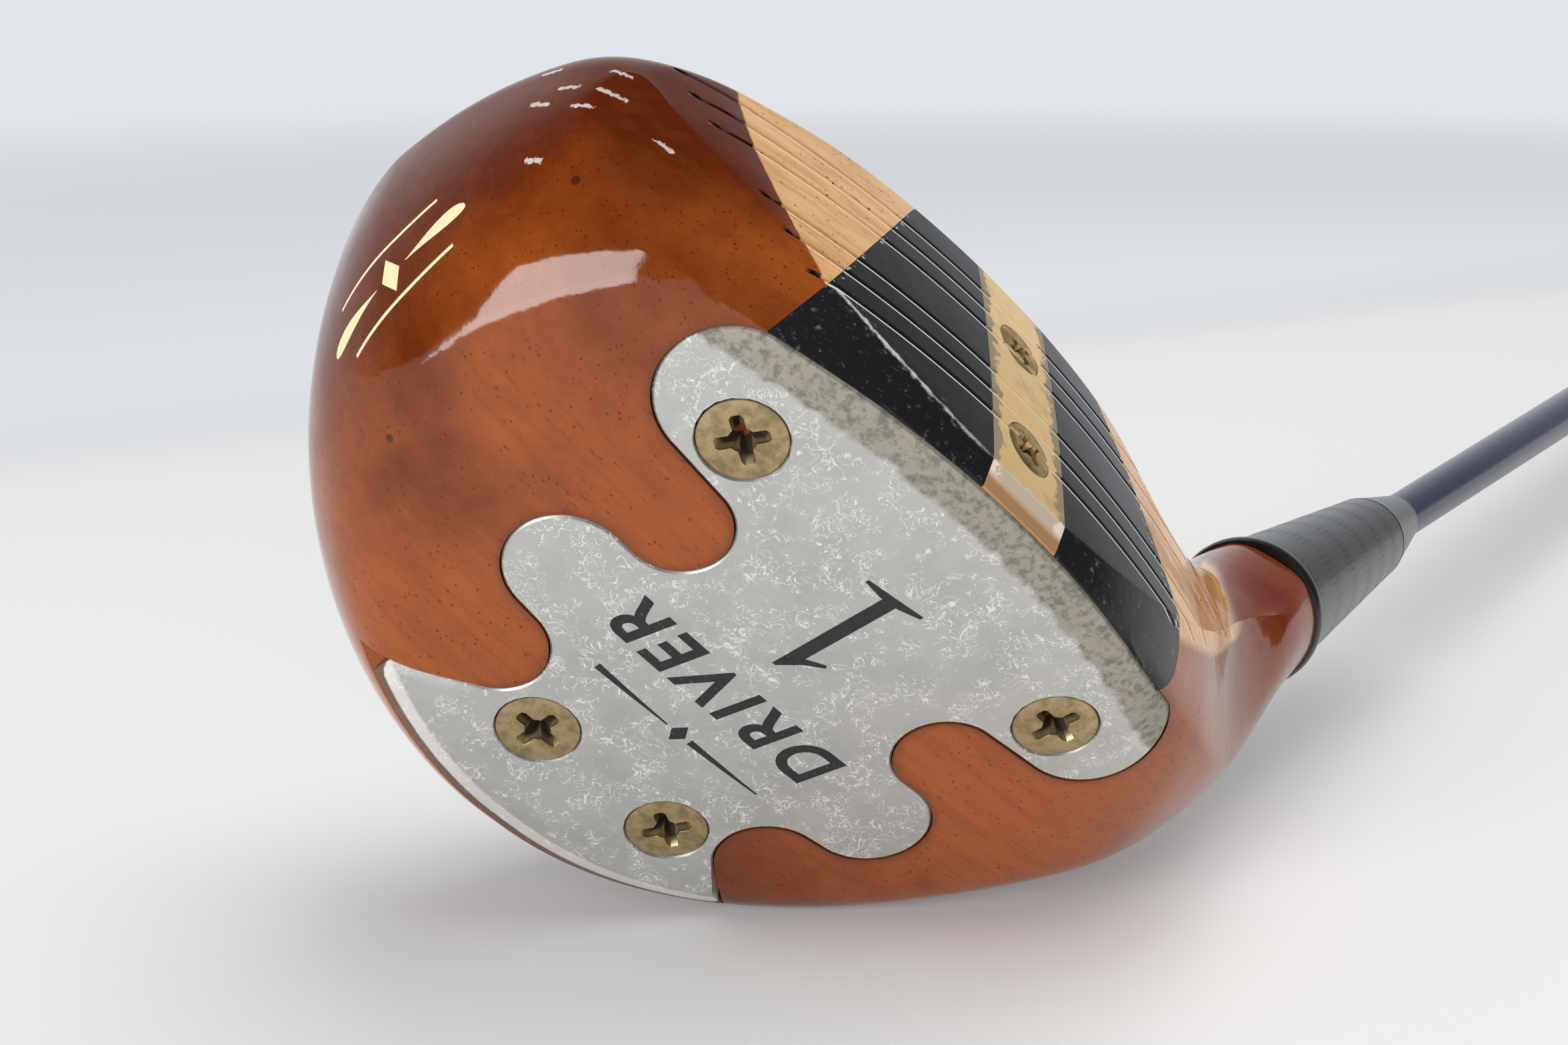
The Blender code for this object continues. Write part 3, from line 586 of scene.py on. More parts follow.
def heel_sections(rings, count):
    """Sections along a curve that leaves the body level and ends on the shaft axis at the whipping."""
    start = np.array((WIDEST_X, BODY_Y, BODY_Z))
    end = np.array(on_axis(RIM_AT))
    leave = start + np.array((HEEL_LEAVE, 0.0, 0.0))
    arrive = end - HEEL_ARRIVE * np.array(SHAFT_DIR)
    made = []
    for t in np.linspace(0.0, 1.0, rings + 1)[1:]:
        u = 1.0 - t
        centre = u ** 3 * start + 3 * u * u * t * leave + 3 * u * t * t * arrive + t ** 3 * end
        heading = 3 * u * u * (leave - start) + 6 * u * t * (arrive - leave) + 3 * t * t * (end - arrive)
        heading /= np.linalg.norm(heading)
        upward = np.cross(heading, (0.0, 1.0, 0.0))
        upward /= np.linalg.norm(upward)
        across = np.cross(upward, heading)
        fade = [1.0 - smooth((t - 0.02) / span) for span in HEEL_FADE]
        full = (FRONT_REACH, BACK_REACH, CROWN_RISE, SOLE_DROP)
        reach = [NECK_R + (whole - NECK_R) * part for whole, part in zip(full, fade)]
        powers = (2.0 + (SECTION_POWER_UP - 2.0) * fade[2], 2.0 + (SECTION_POWER_DOWN - 2.0) * fade[3])
        made.append(section(centre, across, upward, reach, powers, count))
    return made


def neck_rings(count):
    """The thinned neck under the whipping."""
    rings = []
    turn = np.linspace(0.0, 2.0 * np.pi, count, endpoint=False)
    upward = np.cross(np.array(SHAFT_DIR), (0.0, 1.0, 0.0))
    upward /= np.linalg.norm(upward)
    across = np.cross(upward, np.array(SHAFT_DIR))
    for distance, radius in ((RIM_AT, NECK_R - WHIP_T), (NECK_TOP, NECK_TOP_R)):
        circle = np.outer(np.cos(turn), across) + np.outer(np.sin(turn), upward)
        rings.append(np.array(on_axis(distance)) + radius * circle)
    return rings


def head_sections(toe_rings, heel_rings, count):
    """The head's skin from toe to whipping, with the face and the sole cut to shape."""
    points = np.array(toe_sections(toe_rings, count) + heel_sections(heel_rings, count))
    toeward = smooth((TOE_SOFT_X[0] - points[..., 0]) / TOE_SOFT_X[1])
    toeward = toeward * smooth((points[..., 2] - TOE_SOFT_Z[0]) / TOE_SOFT_Z[1])
    soft = EDGE_SOFT + (TOE_SOFT - EDGE_SOFT) * toeward
    points[..., 1] = soft_max(points[..., 1], face_y(points[..., 0], points[..., 2]), soft)
    x, y = points[..., 0], points[..., 1]
    crisp = smooth((CRISP_HALF - np.abs(x)) / CRISP_FADE) * smooth((CRISP_Y - y) / CRISP_FADE)
    width = SOLE_SOFT + (LEADING_SOFT - SOLE_SOFT) * crisp
    points[..., 2] = soft_max(points[..., 2], under_z(x, y), width)
    return points


SKIN_RINGS = (84, 104)
SKIN_AROUND = 360


def head_blank(name):
    """Whole head without any cut, fine enough for its surface to be seen."""
    sections = [list(ring) for ring in head_sections(*SKIN_RINGS, SKIN_AROUND)]
    return link(name, ring_mesh(name, sections + [list(r) for r in neck_rings(SKIN_AROUND)]))


# ---------------------------------------------------------------- outlines and cutters
def arc(centre, radius, start, end, steps):
    angles = [start + (end - start) * i / steps for i in range(steps + 1)]
    return [(centre[0] + radius * math.cos(a), centre[1] + radius * math.sin(a)) for a in angles]


def plate_side(grow, steps):
    """Heel half of the plate's outline, front to rear; grow moves it outwards."""
    side = arc(LOBE, LOBE[2] + grow, math.radians(-64.0), math.radians(90.0), steps)
    side += arc(FINGER, FINGER[2] - grow, math.radians(-90.0), math.radians(-270.0), steps)
    side += arc(WING, WING[2] + grow, math.radians(-90.0), math.radians(84.0), steps)
    reach = Vector(REAR_CORNER) - Vector(WAIST[:2])
    tangent = math.atan2(reach.y, reach.x) + math.acos(WAIST[2] / reach.length)
    side += arc(WAIST, WAIST[2] - grow, math.radians(-96.0), tangent - 2.0 * math.pi, steps)
    flare = reach.normalized()
    ahead = Vector((-math.sin(tangent), math.cos(tangent)))
    if ahead.dot(flare) < 0.0:
        ahead = -ahead
    side.append(tuple(Vector(side[-1]) + ahead * (BODY_Y + BACK_REACH)))
    return side


def plate_outline(grow=0.0, steps=40):
    """Whole outline: the front arc, both sides, and an open run past the rear of the head."""
    heel = plate_side(grow, steps)
    toe = [(-x, y) for x, y in reversed(heel)]
    first = heel[0]
    front = []
    for i in range(1, steps):
        x = -first[0] + 2.0 * first[0] * i / steps
        front.append((x, first[1] + (x * x - first[0] ** 2) / (2.0 * PLATE_FRONT_R)))
    return toe + front + heel


def prism(name, outline, low, high):
    """Straight prism over an outline of (x, y), in mm."""
    rings = [[(x, y, z) for x, y in outline] for z in (low, high)]
    return ring_mesh(name, rings)


def cambered_slab(name, low, high):
    """Slab that follows the sole's camber between two heights above it."""
    rings = []
    front, back = SLAB_Y
    for x in np.linspace(-SLAB_X, SLAB_X, SLAB_STATIONS):
        base = float(sole_z(x))
        rings.append([(x, front, base + low), (x, back, base + low), (x, back, base + high),
                      (x, front, base + high)])
    return ring_mesh(name, rings)


def insert_outline(grow):
    """Insert seen from the front, (x, z): straight tapered sides, its lower heel corner rounded."""
    low, high = FACE_LOW, FACE_HIGH
    toe, heel = INSERT_TOE[0] + grow, INSERT_HEEL[0] + grow
    toe_low = (INSERT_X - toe + INSERT_TOE[1] * low, low)
    toe_high = (INSERT_X - toe + INSERT_TOE[1] * high, high)
    heel_high = (INSERT_X + heel - INSERT_HEEL[1] * high, high)
    centre = (INSERT_X + heel - INSERT_HEEL[1] * INSERT_CORNER_R - INSERT_CORNER_R, INSERT_CORNER_R)
    bend = arc(centre, INSERT_CORNER_R, math.atan(INSERT_HEEL[1]), INSERT_FOOT_TURN, 24)
    foot = (bend[-1][0] - INSERT_FOOT, low)
    return [toe_low, foot] + bend[::-1] + [heel_high, toe_high]


def insert_slab(name, grow, deep=0.0):
    """Block behind the face: the insert's outline run back by its thickness."""
    rings = []
    for run in (INSERT_T + deep, INSERT_T + deep - INSERT_BLOCK):
        ring = []
        for x, z in insert_outline(grow):
            ring.append((x, FACE_Y + (z - FACE_MID_Z) * math.tan(FACE_TILT) + run, z))
        rings.append(ring)
    return ring_mesh(name, rings)


def score_cutter():
    """V-bottomed bars that cut the score lines, following the face."""
    width = settings("head").score_width / MM
    depth = settings("head").score_depth / MM
    bars = []
    for height, toe, heel in SCORES:
        rings = []
        for x in np.linspace(toe, heel, SCORE_STATIONS):
            end = min(x - toe, heel - x)
            sink = depth * float(smooth(end / SCORE_RUN_OUT + 0.05))
            front = float(face_y(x, height))
            proud = front - SCORE_PROUD
            rings.append([(x, proud, height - width), (x, proud, height + width),
                          (x, front + 0.02, height + width * 0.5), (x, front + sink, height + width * 0.2),
                          (x, front + sink, height - width * 0.2), (x, front + 0.02, height - width * 0.5)])
        bars.append(ring_mesh("bar", rings))
    return joined("bars", bars)


# ---------------------------------------------------------------- node helpers
class Shader:
    """A Principled material under construction; values are sockets or plain numbers."""

    def __init__(self, name, colour, roughness, metallic=0.0, **constants):
        self.material = bpy.data.materials.new(name)
        self.material.use_nodes = True
        self.tree = self.material.node_tree
        self.shader = self.tree.nodes["Principled BSDF"]
        self.set("Base Color", (*colour, 1.0))
        self.set("Roughness", roughness)
        self.set("Metallic", metallic)
        for key, value in constants.items():
            self.set(key.replace("_", " "), value)

    def set(self, socket, value):
        self.feed(self.shader.inputs[socket], value)

    def feed(self, socket, value):
        if isinstance(value, bpy.types.NodeSocket):
            self.tree.links.new(value, socket)
        else:
            socket.default_value = value

    def node(self, kind, *values, **settings_):
        node = self.tree.nodes.new(kind)
        for key, value in settings_.items():
            setattr(node, key, value)
        for socket, value in zip(node.inputs, values):
            if value is not None:
                self.feed(socket, value)
        return node

    def club(self):
        """Position in the club's frame, in mm."""
        return self.node("ShaderNodeAttribute", attribute_name="club").outputs["Vector"]

    def attribute(self, name):
        return self.node("ShaderNodeAttribute", attribute_name=name).outputs["Fac"]

    def math(self, operation, a, b=0.0, c=0.0):
        return self.node("ShaderNodeMath", a, b, c, operation=operation).outputs[0]

    def vector(self, operation, a, b=(0.0, 0.0, 0.0), out=0):
        return self.node("ShaderNodeVectorMath", a, b, operation=operation).outputs[out]

    def split(self, vector):
        return self.node("ShaderNodeSeparateXYZ", vector).outputs

    def stretch(self, vector, scale, turn=(0.0, 0.0, 0.0)):
        return self.node("ShaderNodeMapping", vector, None, turn, scale).outputs[0]

    def noise(self, vector, scale, detail=3.0, roughness=0.5, distortion=0.0):
        node = self.node("ShaderNodeTexNoise")
        self.feed(node.inputs["Vector"], vector)
        for name, value in (("Scale", scale), ("Detail", detail), ("Roughness", roughness),
                            ("Distortion", distortion)):
            self.feed(node.inputs[name], value)
        return node.outputs["Fac"]

    def cells(self, vector, scale, feature="F1", randomness=1.0):
        node = self.node("ShaderNodeTexVoronoi", feature=feature)
        self.feed(node.inputs["Vector"], vector)
        self.feed(node.inputs["Scale"], scale)
        self.feed(node.inputs["Randomness"], randomness)
        return node.outputs["Distance"]

    def step(self, value, low, high):
        """0 below low and 1 above high, or the other way round when low is the larger."""
        node = self.node("ShaderNodeMapRange", value, low, high, 0.0, 1.0, interpolation_type="SMOOTHSTEP")
        return node.outputs[0]

    def mix(self, amount, a, b):
        node = self.node("ShaderNodeMix", data_type="RGBA")
        self.feed(node.inputs["Factor"], amount)
        for name, value in (("A", a), ("B", b)):
            socket = [s for s in node.inputs if s.name == name and s.type == "RGBA"][0]
            self.feed(socket, value if isinstance(value, bpy.types.NodeSocket) else (*value, 1.0))
        return [s for s in node.outputs if s.type == "RGBA"][0]

    def blend(self, amount, a, b):
        """Plain number between a and b."""
        return self.math("MULTIPLY_ADD", amount, self.math("SUBTRACT", b, a), a)

    def bump(self, *heights):
        """Bumps laid over each other: (height, strength, distance in m)."""
        normal = None
        for height, strength, distance in heights:
            node = self.node("ShaderNodeBump")
            self.feed(node.inputs["Height"], height)
            node.inputs["Strength"].default_value = strength
            node.inputs["Distance"].default_value = distance
            if normal is not None:
                self.tree.links.new(normal, node.inputs["Normal"])
            normal = node.outputs["Normal"]
        self.set("Normal", normal)

    def dash(self, place, start, end):
        """Distance from a short straight mark."""
        start, end = Vector(start), Vector(end)
        run = end - start
        from_start = self.vector("SUBTRACT", place, tuple(start))
        along = self.vector("DOT_PRODUCT", from_start, tuple(run / run.length_squared), out=1)
        held = self.node("ShaderNodeClamp", along, 0.0, 1.0).outputs[0]
        foot = self.node("ShaderNodeVectorMath", tuple(run), operation="SCALE")
        self.feed(foot.inputs["Scale"], held)
        return self.vector("LENGTH", self.vector("SUBTRACT", from_start, foot.outputs[0]), out=1)

    def face_depth(self, xyz):
        """How far a point lies behind the face, in mm, from its club coordinates."""
        x, y, z = xyz
        up = self.math("SUBTRACT", z, FACE_MID_Z)
        bulge = self.math("MULTIPLY", self.math("MULTIPLY", x, x), 0.5 / BULGE_RADIUS)
        roll = self.math("MULTIPLY", self.math("MULTIPLY", up, up), 0.5 / ROLL_RADIUS)
        front = self.math("ADD", self.math("ADD", bulge, roll), self.math("MULTIPLY", up, math.tan(FACE_TILT)))
        return self.math("SUBTRACT", self.math("SUBTRACT", y, front), FACE_Y)


def painted_score_highlight(m, z):
    """Painted highlight along one side of each score line: a thin bright line standing for the light caught on the
    groove's edge.
    """
    nearest = None
    for height, _, _ in SCORES:
        distance = m.math("ABSOLUTE", m.math("SUBTRACT", z, height - HIGHLIGHT_BELOW))
        nearest = distance if nearest is None else m.math("MINIMUM", nearest, distance)
    return m.step(nearest, 0.17, 0.07)


def painted_score_shade(m, x, y, z):
    """Painted shade in the score lines where they run out over the stained wood at the toe: dark strokes standing
    for the grooves' shadow.
    """
    packed = None
    for height, toe_end, _ in SCORES:
        line = m.step(m.math("ABSOLUTE", m.math("SUBTRACT", z, height)), 0.38, 0.24)
        line = m.math("MULTIPLY", line, m.step(x, toe_end, toe_end + 0.9))
        packed = line if packed is None else m.math("MAXIMUM", packed, line)
    return m.math("MULTIPLY", packed, m.math("MULTIPLY", m.step(x, 0.0, -10.0), m.step(y, 9.0, 7.0)))


# ---------------------------------------------------------------- materials
def wood_material():
    """Persimmon under orange stain and clear lacquer, bare on the face, with pores, scuffs and bruises; painted
    shade towards toe, crown and rear and in the score lines, and a painted highlight beside each score line.
    """
    own = settings("head")
    m = Shader("lacquered_wood", own.stain, 0.32, Coat_Weight=1.0, Coat_Roughness=0.075, Coat_IOR=1.45,
               Specular_IOR_Level=0.0)
    place = m.club()
    x, y, z = m.split(place)[:]
    clouds = m.noise(place, 0.06, 6.0, 0.62)
    # darker towards toe, crown and rear: painted shade of the lying head, partly a deeper stain; lighter again
    # towards the heel
    toeward = m.step(x, *TOEWARD)
    upward = m.step(z, *UPWARD)
    rearward = m.math("MULTIPLY", m.step(y, *REARWARD), m.step(x, *REAR_HEELWARD))
    shade = m.math("ADD", m.math("MULTIPLY", toeward, 0.6), m.math("MULTIPLY", upward, 0.95))
    shade = m.math("ADD", shade, m.math("MULTIPLY", rearward, 0.75))
    shade = m.math("ADD", shade, m.math("MULTIPLY", m.math("SUBTRACT", clouds, 0.5), 1.5))
    heelward = m.step(x, *HEELWARD)
    shade = m.math("MULTIPLY", shade, m.math("SUBTRACT", 1.0, m.math("MULTIPLY", heelward, 0.5)))
    colour = m.mix(m.step(shade, 0.0, 1.0), tuple(own.stain), tuple(own.stain_dark))
    grain_place = m.stretch(place, (0.035, 0.5, 0.5), GRAIN_TURN)
    grain = m.noise(grain_place, 1.1, 5.0, 0.62, 0.6)
    colour = m.mix(m.math("MULTIPLY", m.step(grain, 0.42, 0.66), 0.30), colour, GRAIN_BROWN)
    neck_patch = m.step(m.vector("DISTANCE", place, NECK_PATCH_AT, out=1), 7.5, 1.5)
    colour = m.mix(m.math("MULTIPLY", m.step(x, *NECKWARD), 0.6), colour, NECK_BROWN)
    colour = m.mix(m.math("MULTIPLY", neck_patch, 0.85), colour, NECK_PATCH_RED)
    bare_colour = m.mix(m.step(grain, 0.35, 0.7), tuple(own.bare), FACE_GRAIN)
    start, foot, fall, bend = STAIN
    u = m.math("SUBTRACT", z, foot)
    edge = m.math("SUBTRACT", start, m.math("MULTIPLY", u, fall))
    edge = m.math("ADD", edge, m.math("MULTIPLY", m.math("MULTIPLY", u, u), bend))
    ragged = m.math("MULTIPLY", m.math("SUBTRACT", m.noise(place, 0.7, 2.0), 0.5), 0.5)
    past_stain = m.step(m.math("SUBTRACT", m.math("ADD", x, ragged), edge), 0.0, 0.35)
    on_face = m.step(m.face_depth((x, y, z)), 0.95, 0.45)
    leaning = m.math("MULTIPLY", z, HEEL_LINE_LEAN)
    heel_end = m.step(m.math("SUBTRACT", m.math("ADD", x, ragged), leaning), *HEEL_LINE)
    heel_end = m.math("MULTIPLY", heel_end, m.step(x, *NECK_LINE))
    bare = m.math("MULTIPLY", m.math("MULTIPLY", past_stain, on_face), heel_end)
    colour = m.mix(bare, colour, bare_colour)
    # pores run with the grain, in short dark strokes
    pore_place = m.stretch(place, (0.28, 1.9, 1.9), GRAIN_TURN)
    pores = m.step(m.noise(pore_place, 1.35, 2.0, 0.5), 0.665, 0.74)
    dot_place = m.stretch(place, (0.55, 1.0, 1.0), GRAIN_TURN)
    dots = m.step(m.cells(dot_place, 1.45), 0.21, 0.10)
    dots = m.math("MULTIPLY", dots, m.step(m.noise(place, 0.55, 3.0), 0.42, 0.52))
    bruise = m.step(m.cells(place, 0.055), 0.036, 0.022)
    dark = m.math("MAXIMUM", m.math("MULTIPLY", pores, 0.45), m.math("MULTIPLY", dots, 0.85))
    dark = m.math("MAXIMUM", dark, m.math("MULTIPLY", bruise, 0.85))
    colour = m.mix(dark, colour, PORE_BROWN)
    # darker in a thin line in the wood along the plate's border
    plate_line = m.attribute("rim")
    colour = m.mix(m.math("MULTIPLY", plate_line, 0.75), colour, PLATE_LINE_BROWN)
    # scuffs through the lacquer on the toe
    marks = None
    flat_place = m.stretch(place, (SCUFF_SQUEEZE, 1.0, 1.0))
    for first, second in SCUFFS:
        distance = m.dash(flat_place, *((SCUFF_SQUEEZE * end[0], end[1], end[2]) for end in (first, second)))
        marks = distance if marks is None else m.math("MINIMUM", marks, distance)
    marks = m.math("ADD", marks, m.math("MULTIPLY", m.math("SUBTRACT", m.noise(place, 2.2, 3.0), 0.5), 0.9))
    scuff = m.math("MULTIPLY", m.step(marks, 0.36, 0.20), m.step(x, -40.0, -44.0))
    colour = m.mix(m.math("MULTIPLY", scuff, 0.8), colour, SCUFF_PALE)
    # painted highlight beside each score line on the bare face
    score_highlight = m.math("MULTIPLY", painted_score_highlight(m, z), bare)
    colour = m.mix(m.math("MULTIPLY", score_highlight, 0.55), colour, SCORE_HIGHLIGHT_PALE)
    # painted shade: the ends of the score lines on the stained wood are drawn dark
    darkening = m.math("MULTIPLY", painted_score_shade(m, x, y, z), m.math("SUBTRACT", 1.0, bare))
    colour = m.mix(darkening, colour, SCORE_BLACK)
    m.set("Base Color", colour)
    m.set("Roughness", m.blend(scuff, 0.30, 0.7))
    ripple = m.noise(place, 0.11, 2.0)
    m.bump((ripple, 0.25, 0.0006), (grain, 0.05, 0.0002), (m.math("SUBTRACT", 1.0, dark), 0.25, 0.00006),
           (m.math("SUBTRACT", 1.0, scuff), 0.5, 0.0001))
    coat = m.node("ShaderNodeBump")
    m.feed(coat.inputs["Height"], m.math("ADD", ripple, m.math("MULTIPLY", m.noise(place, 0.5, 3.0), 0.12)))
    coat.inputs["Strength"].default_value = 0.35
    coat.inputs["Distance"].default_value = 0.0004
    m.set("Coat Normal", coat.outputs["Normal"])
    return m.material


def insert_material():
    """Gloss black fibre with fine scratches and chipped paint along its toe and heel sides, and painted highlights
    beside the score lines and along the leading crease.
    """
    m = Shader("black_insert", INSERT_BLACK, 0.22, Coat_Weight=0.05, Coat_Roughness=0.05,
               Specular_IOR_Level=0.16)
    place = m.club()
    x, y, z = m.split(place)[:]
    long_place = m.stretch(place, (0.06, 1.0, 1.6), (0.0, 0.5, 0.0))
    hairs = m.step(m.noise(long_place, 3.2, 4.0, 0.7), 0.64, 0.7)
    cross_place = m.stretch(place, (1.3, 1.0, 0.07), (0.0, 0.35, 0.0))
    hairs = m.math("MAXIMUM", hairs, m.step(m.noise(cross_place, 2.7, 4.0, 0.7), 0.66, 0.72))
    climb = m.math("MULTIPLY", m.math("MULTIPLY", x, x), 1.0 / EDGE_RISE)
    worn_low = m.step(m.math("SUBTRACT", z, climb), 6.5, 3.0)
    chips = m.step(m.noise(place, 1.1, 3.0, 0.7), 0.60, 0.64)
    toe_side = m.math("ADD", x, INSERT_TOE[0] - INSERT_X)
    toe_side = m.math("SUBTRACT", toe_side, m.math("MULTIPLY", z, INSERT_TOE[1]))
    heel_side = m.math("SUBTRACT", INSERT_X + INSERT_HEEL[0], x)
    heel_side = m.math("SUBTRACT", heel_side, m.math("MULTIPLY", z, INSERT_HEEL[1]))
    rim = m.math("MAXIMUM", m.step(toe_side, 0.9, 0.2), m.step(heel_side, 1.2, 0.2))
    chip = m.math("MULTIPLY", m.math("MULTIPLY", rim, chips), m.step(m.face_depth((x, y, z)), 1.4, 0.4))
    dust = m.math("MULTIPLY", m.step(m.noise(place, 0.9, 4.0, 0.7), 0.58, 0.72), 0.5)
    colour = m.mix(m.math("MULTIPLY", hairs, 0.35), INSERT_BLACK, INSERT_HAIR)
    colour = m.mix(m.math("MULTIPLY", worn_low, dust), colour, INSERT_DUST)
    colour = m.mix(chip, colour, INSERT_CHIP)
    # painted highlight beside each score line on the insert's front
    in_front = m.step(m.face_depth((x, y, z)), 0.5, 0.2)
    score_highlight = m.math("MULTIPLY", painted_score_highlight(m, z), in_front)
    colour = m.mix(m.math("MULTIPLY", score_highlight, 0.85), colour, INSERT_SCORE_HIGHLIGHT)
    # painted highlight along the leading crease towards the toe, standing for the light caught on that crease
    climb = m.math("MULTIPLY", m.math("POWER", m.math("ADD", x, -EDGE_MIDDLE), 2.0), 1.0 / EDGE_RISE)
    crease = m.math("SUBTRACT", z, climb)
    crease = m.math("ABSOLUTE", m.math("SUBTRACT", crease, EDGE_Z + 0.3))
    ragged = m.math("MULTIPLY", m.noise(place, 0.5, 4.0, 0.7), 1.5)
    crease_highlight = m.step(m.math("SUBTRACT", crease, ragged), -0.35, -0.8)
    colour = m.mix(m.math("MULTIPLY", crease_highlight, m.step(x, 4.0, -20.0)), colour, INSERT_CREASE_HIGHLIGHT)
    m.set("Base Color", colour)
    m.set("Roughness", m.blend(m.math("MAXIMUM", hairs, m.math("MULTIPLY", dust, worn_low)), 0.2, 0.5))
    m.bump((m.noise(place, 0.2, 2.0), 0.15, 0.0004), (hairs, 0.12, 0.00003), (chip, 0.5, 0.00008))
    return m.material


def brass_strip_material():
    """Brass brushed up and down, with old lacquer left along its sides, a worn lower edge, painted shade on its
    underside and a painted highlight beside each score line.
    """
    m = Shader("brushed_brass", (0.80, 0.54, 0.25), 0.3, 1.0, Anisotropic=0.35)
    place = m.club()
    x, y, z = m.split(place)[:]
    brush = m.noise(m.stretch(place, (7.0, 1.5, 0.22)), 1.6, 4.0, 0.65)
    cloud = m.noise(place, 0.32, 4.0, 0.65)
    side = m.math("ABSOLUTE", m.math("SUBTRACT", x, INSERT_X))
    ragged = m.math("ADD", side, m.math("MULTIPLY", m.math("SUBTRACT", m.noise(place, 0.55, 4.0, 0.7), 0.5), 4.5))
    film = m.step(ragged, 4.4, 4.9)
    below = m.step(m.face_depth((x, y, z)), 0.4, 0.9)
    low = m.step(m.math("ADD", z, m.math("MULTIPLY", m.noise(place, 1.4, 3.0), 1.1)), 4.5, 4.0)
    colour = m.mix(brush, BRASS_BRIGHT, BRASS_DEEP)
    colour = m.mix(m.math("MULTIPLY", m.step(cloud, 0.5, 0.75), 0.5), colour, BRASS_CLOUD)
    colour = m.mix(m.math("MULTIPLY", film, 0.85), colour, BRASS_FILM)
    colour = m.mix(m.math("MULTIPLY", low, 0.85), colour, BRASS_WORN)
    # painted shade: the strip's underside, behind the face, is drawn dark amber-brown and less metallic
    colour = m.mix(m.math("MULTIPLY", below, 0.9), colour, BRASS_UNDER_SHADE)
    # painted highlight beside each score line on the strip's front
    score_highlight = m.math("MULTIPLY", painted_score_highlight(m, z), m.step(m.face_depth((x, y, z)), 0.5, 0.2))
    colour = m.mix(m.math("MULTIPLY", score_highlight, 0.7), colour, BRASS_SCORE_HIGHLIGHT)
    m.set("Base Color", colour)
    m.set("Metallic", m.math("SUBTRACT", 0.5, m.math("MULTIPLY", m.math("MAXIMUM", film, below), 0.4)))
    m.set("Roughness", m.blend(m.math("MAXIMUM", film, m.math("MULTIPLY", cloud, 0.4)), 0.26, 0.5))
    m.bump((brush, 0.18, 0.00008), (film, 0.3, 0.00005))
    return m.material


def plate_material():
    """Satin aluminium with pale curly corrosion, hair scratches, a rough beige band along the front, and a painted
    highlight on its rear bevel.
    """
    own = settings("plate")
    m = Shader("satin_aluminium", own.metal, 0.42, 1.0)
    place = m.club()
    x, y, z = m.split(place)[:]
    wander = m.noise(place, 0.35, 2.0, 0.5)
    fine = m.math("ABSOLUTE", m.math("SUBTRACT", m.noise(place, 0.95, 1.0, 0.4, 1.2), 0.5))
    fine = m.math("MULTIPLY", m.step(fine, 0.034, 0.012), m.step(wander, 0.50, 0.57))
    worms = m.math("ABSOLUTE", m.math("SUBTRACT", m.noise(place, 0.55, 1.0, 0.4, 1.6), 0.5))
    worms = m.math("MULTIPLY", m.step(worms, 0.024, 0.008), m.step(m.noise(place, 0.20, 2.0), 0.50, 0.57))
    curl = m.math("MAXIMUM", fine, worms)
    grime = m.noise(place, 0.11, 5.0, 0.6)
    hair_a = m.noise(m.stretch(place, (0.05, 1.6, 1.0), (0.0, 0.0, 0.5)), 2.4, 4.0, 0.7)
    hair_b = m.noise(m.stretch(place, (1.5, 0.06, 1.0), (0.0, 0.0, 0.3)), 2.2, 4.0, 0.7)
    hairs = m.math("MAXIMUM", m.step(hair_a, 0.63, 0.68), m.step(hair_b, 0.65, 0.70))
    front = m.math("MULTIPLY", m.math("MULTIPLY", x, x), 0.5 / PLATE_FRONT_R)
    to_front = m.math("SUBTRACT", m.math("SUBTRACT", y, front), PLATE_FRONT_Y)
    wavy = m.math("MULTIPLY", m.math("SUBTRACT", m.noise(place, 0.35, 4.0, 0.6), 0.5), 2.6)
    worn = m.step(m.math("ADD", to_front, wavy), 5.3, 4.4)
    pits = m.step(m.noise(place, 0.9, 6.0, 0.72), 0.45, 0.62)
    colour = m.mix(m.step(grime, 0.35, 0.7), tuple(own.metal), PLATE_GRIME)
    colour = m.mix(m.math("MULTIPLY", hairs, 0.35), colour, PLATE_HAIR)
    colour = m.mix(m.math("MULTIPLY", curl, 0.55), colour, PLATE_CURL)
    band = m.mix(pits, PLATE_BAND, PLATE_BAND_PIT)
    colour = m.mix(m.math("MULTIPLY", worn, 0.85), colour, band)
    rise = m.math("SUBTRACT", z, m.math("MULTIPLY", m.math("MULTIPLY", x, x), 0.5 / SOLE_CAMBER))
    # painted highlight: a bright band on the plate's rear bevel; behind it a brown line along its rear border
    behind = m.step(y, 30.0, 40.0)
    bevel = m.math("MULTIPLY", m.math("MULTIPLY", m.step(rise, 0.55, 0.7), m.step(rise, 1.5, 1.3)), behind)
    colour = m.mix(m.math("MULTIPLY", bevel, 0.8), colour, PLATE_BEVEL_HIGHLIGHT)
    rim_line = m.math("MULTIPLY", m.step(rise, 1.35, 1.55), behind)
    colour = m.mix(m.math("MULTIPLY", rim_line, 0.9), colour, PLATE_RIM)
    # darker on the plate's walls along its border
    darkening = m.attribute("rim")
    colour = m.mix(m.math("MULTIPLY", darkening, 0.7), colour, PLATE_BORDER_DARK)
    m.set("Base Color", colour)
    dull = m.math("MAXIMUM", m.math("MULTIPLY", worn, 0.55), m.math("MULTIPLY", curl, 0.5))
    m.set("Metallic", m.math("SUBTRACT", 0.85, m.math("MULTIPLY", dull, 0.8)))
    m.set("Roughness", m.blend(m.math("MAXIMUM", worn, m.math("MULTIPLY", grime, 0.5)), 0.36, 0.62))
    m.bump((m.noise(place, 0.16, 2.0), 0.2, 0.0005), (m.math("MULTIPLY", worn, pits), 0.35, 0.00012),
           (curl, 0.15, 0.00003), (hairs, 0.15, 0.00003))
    return m.material


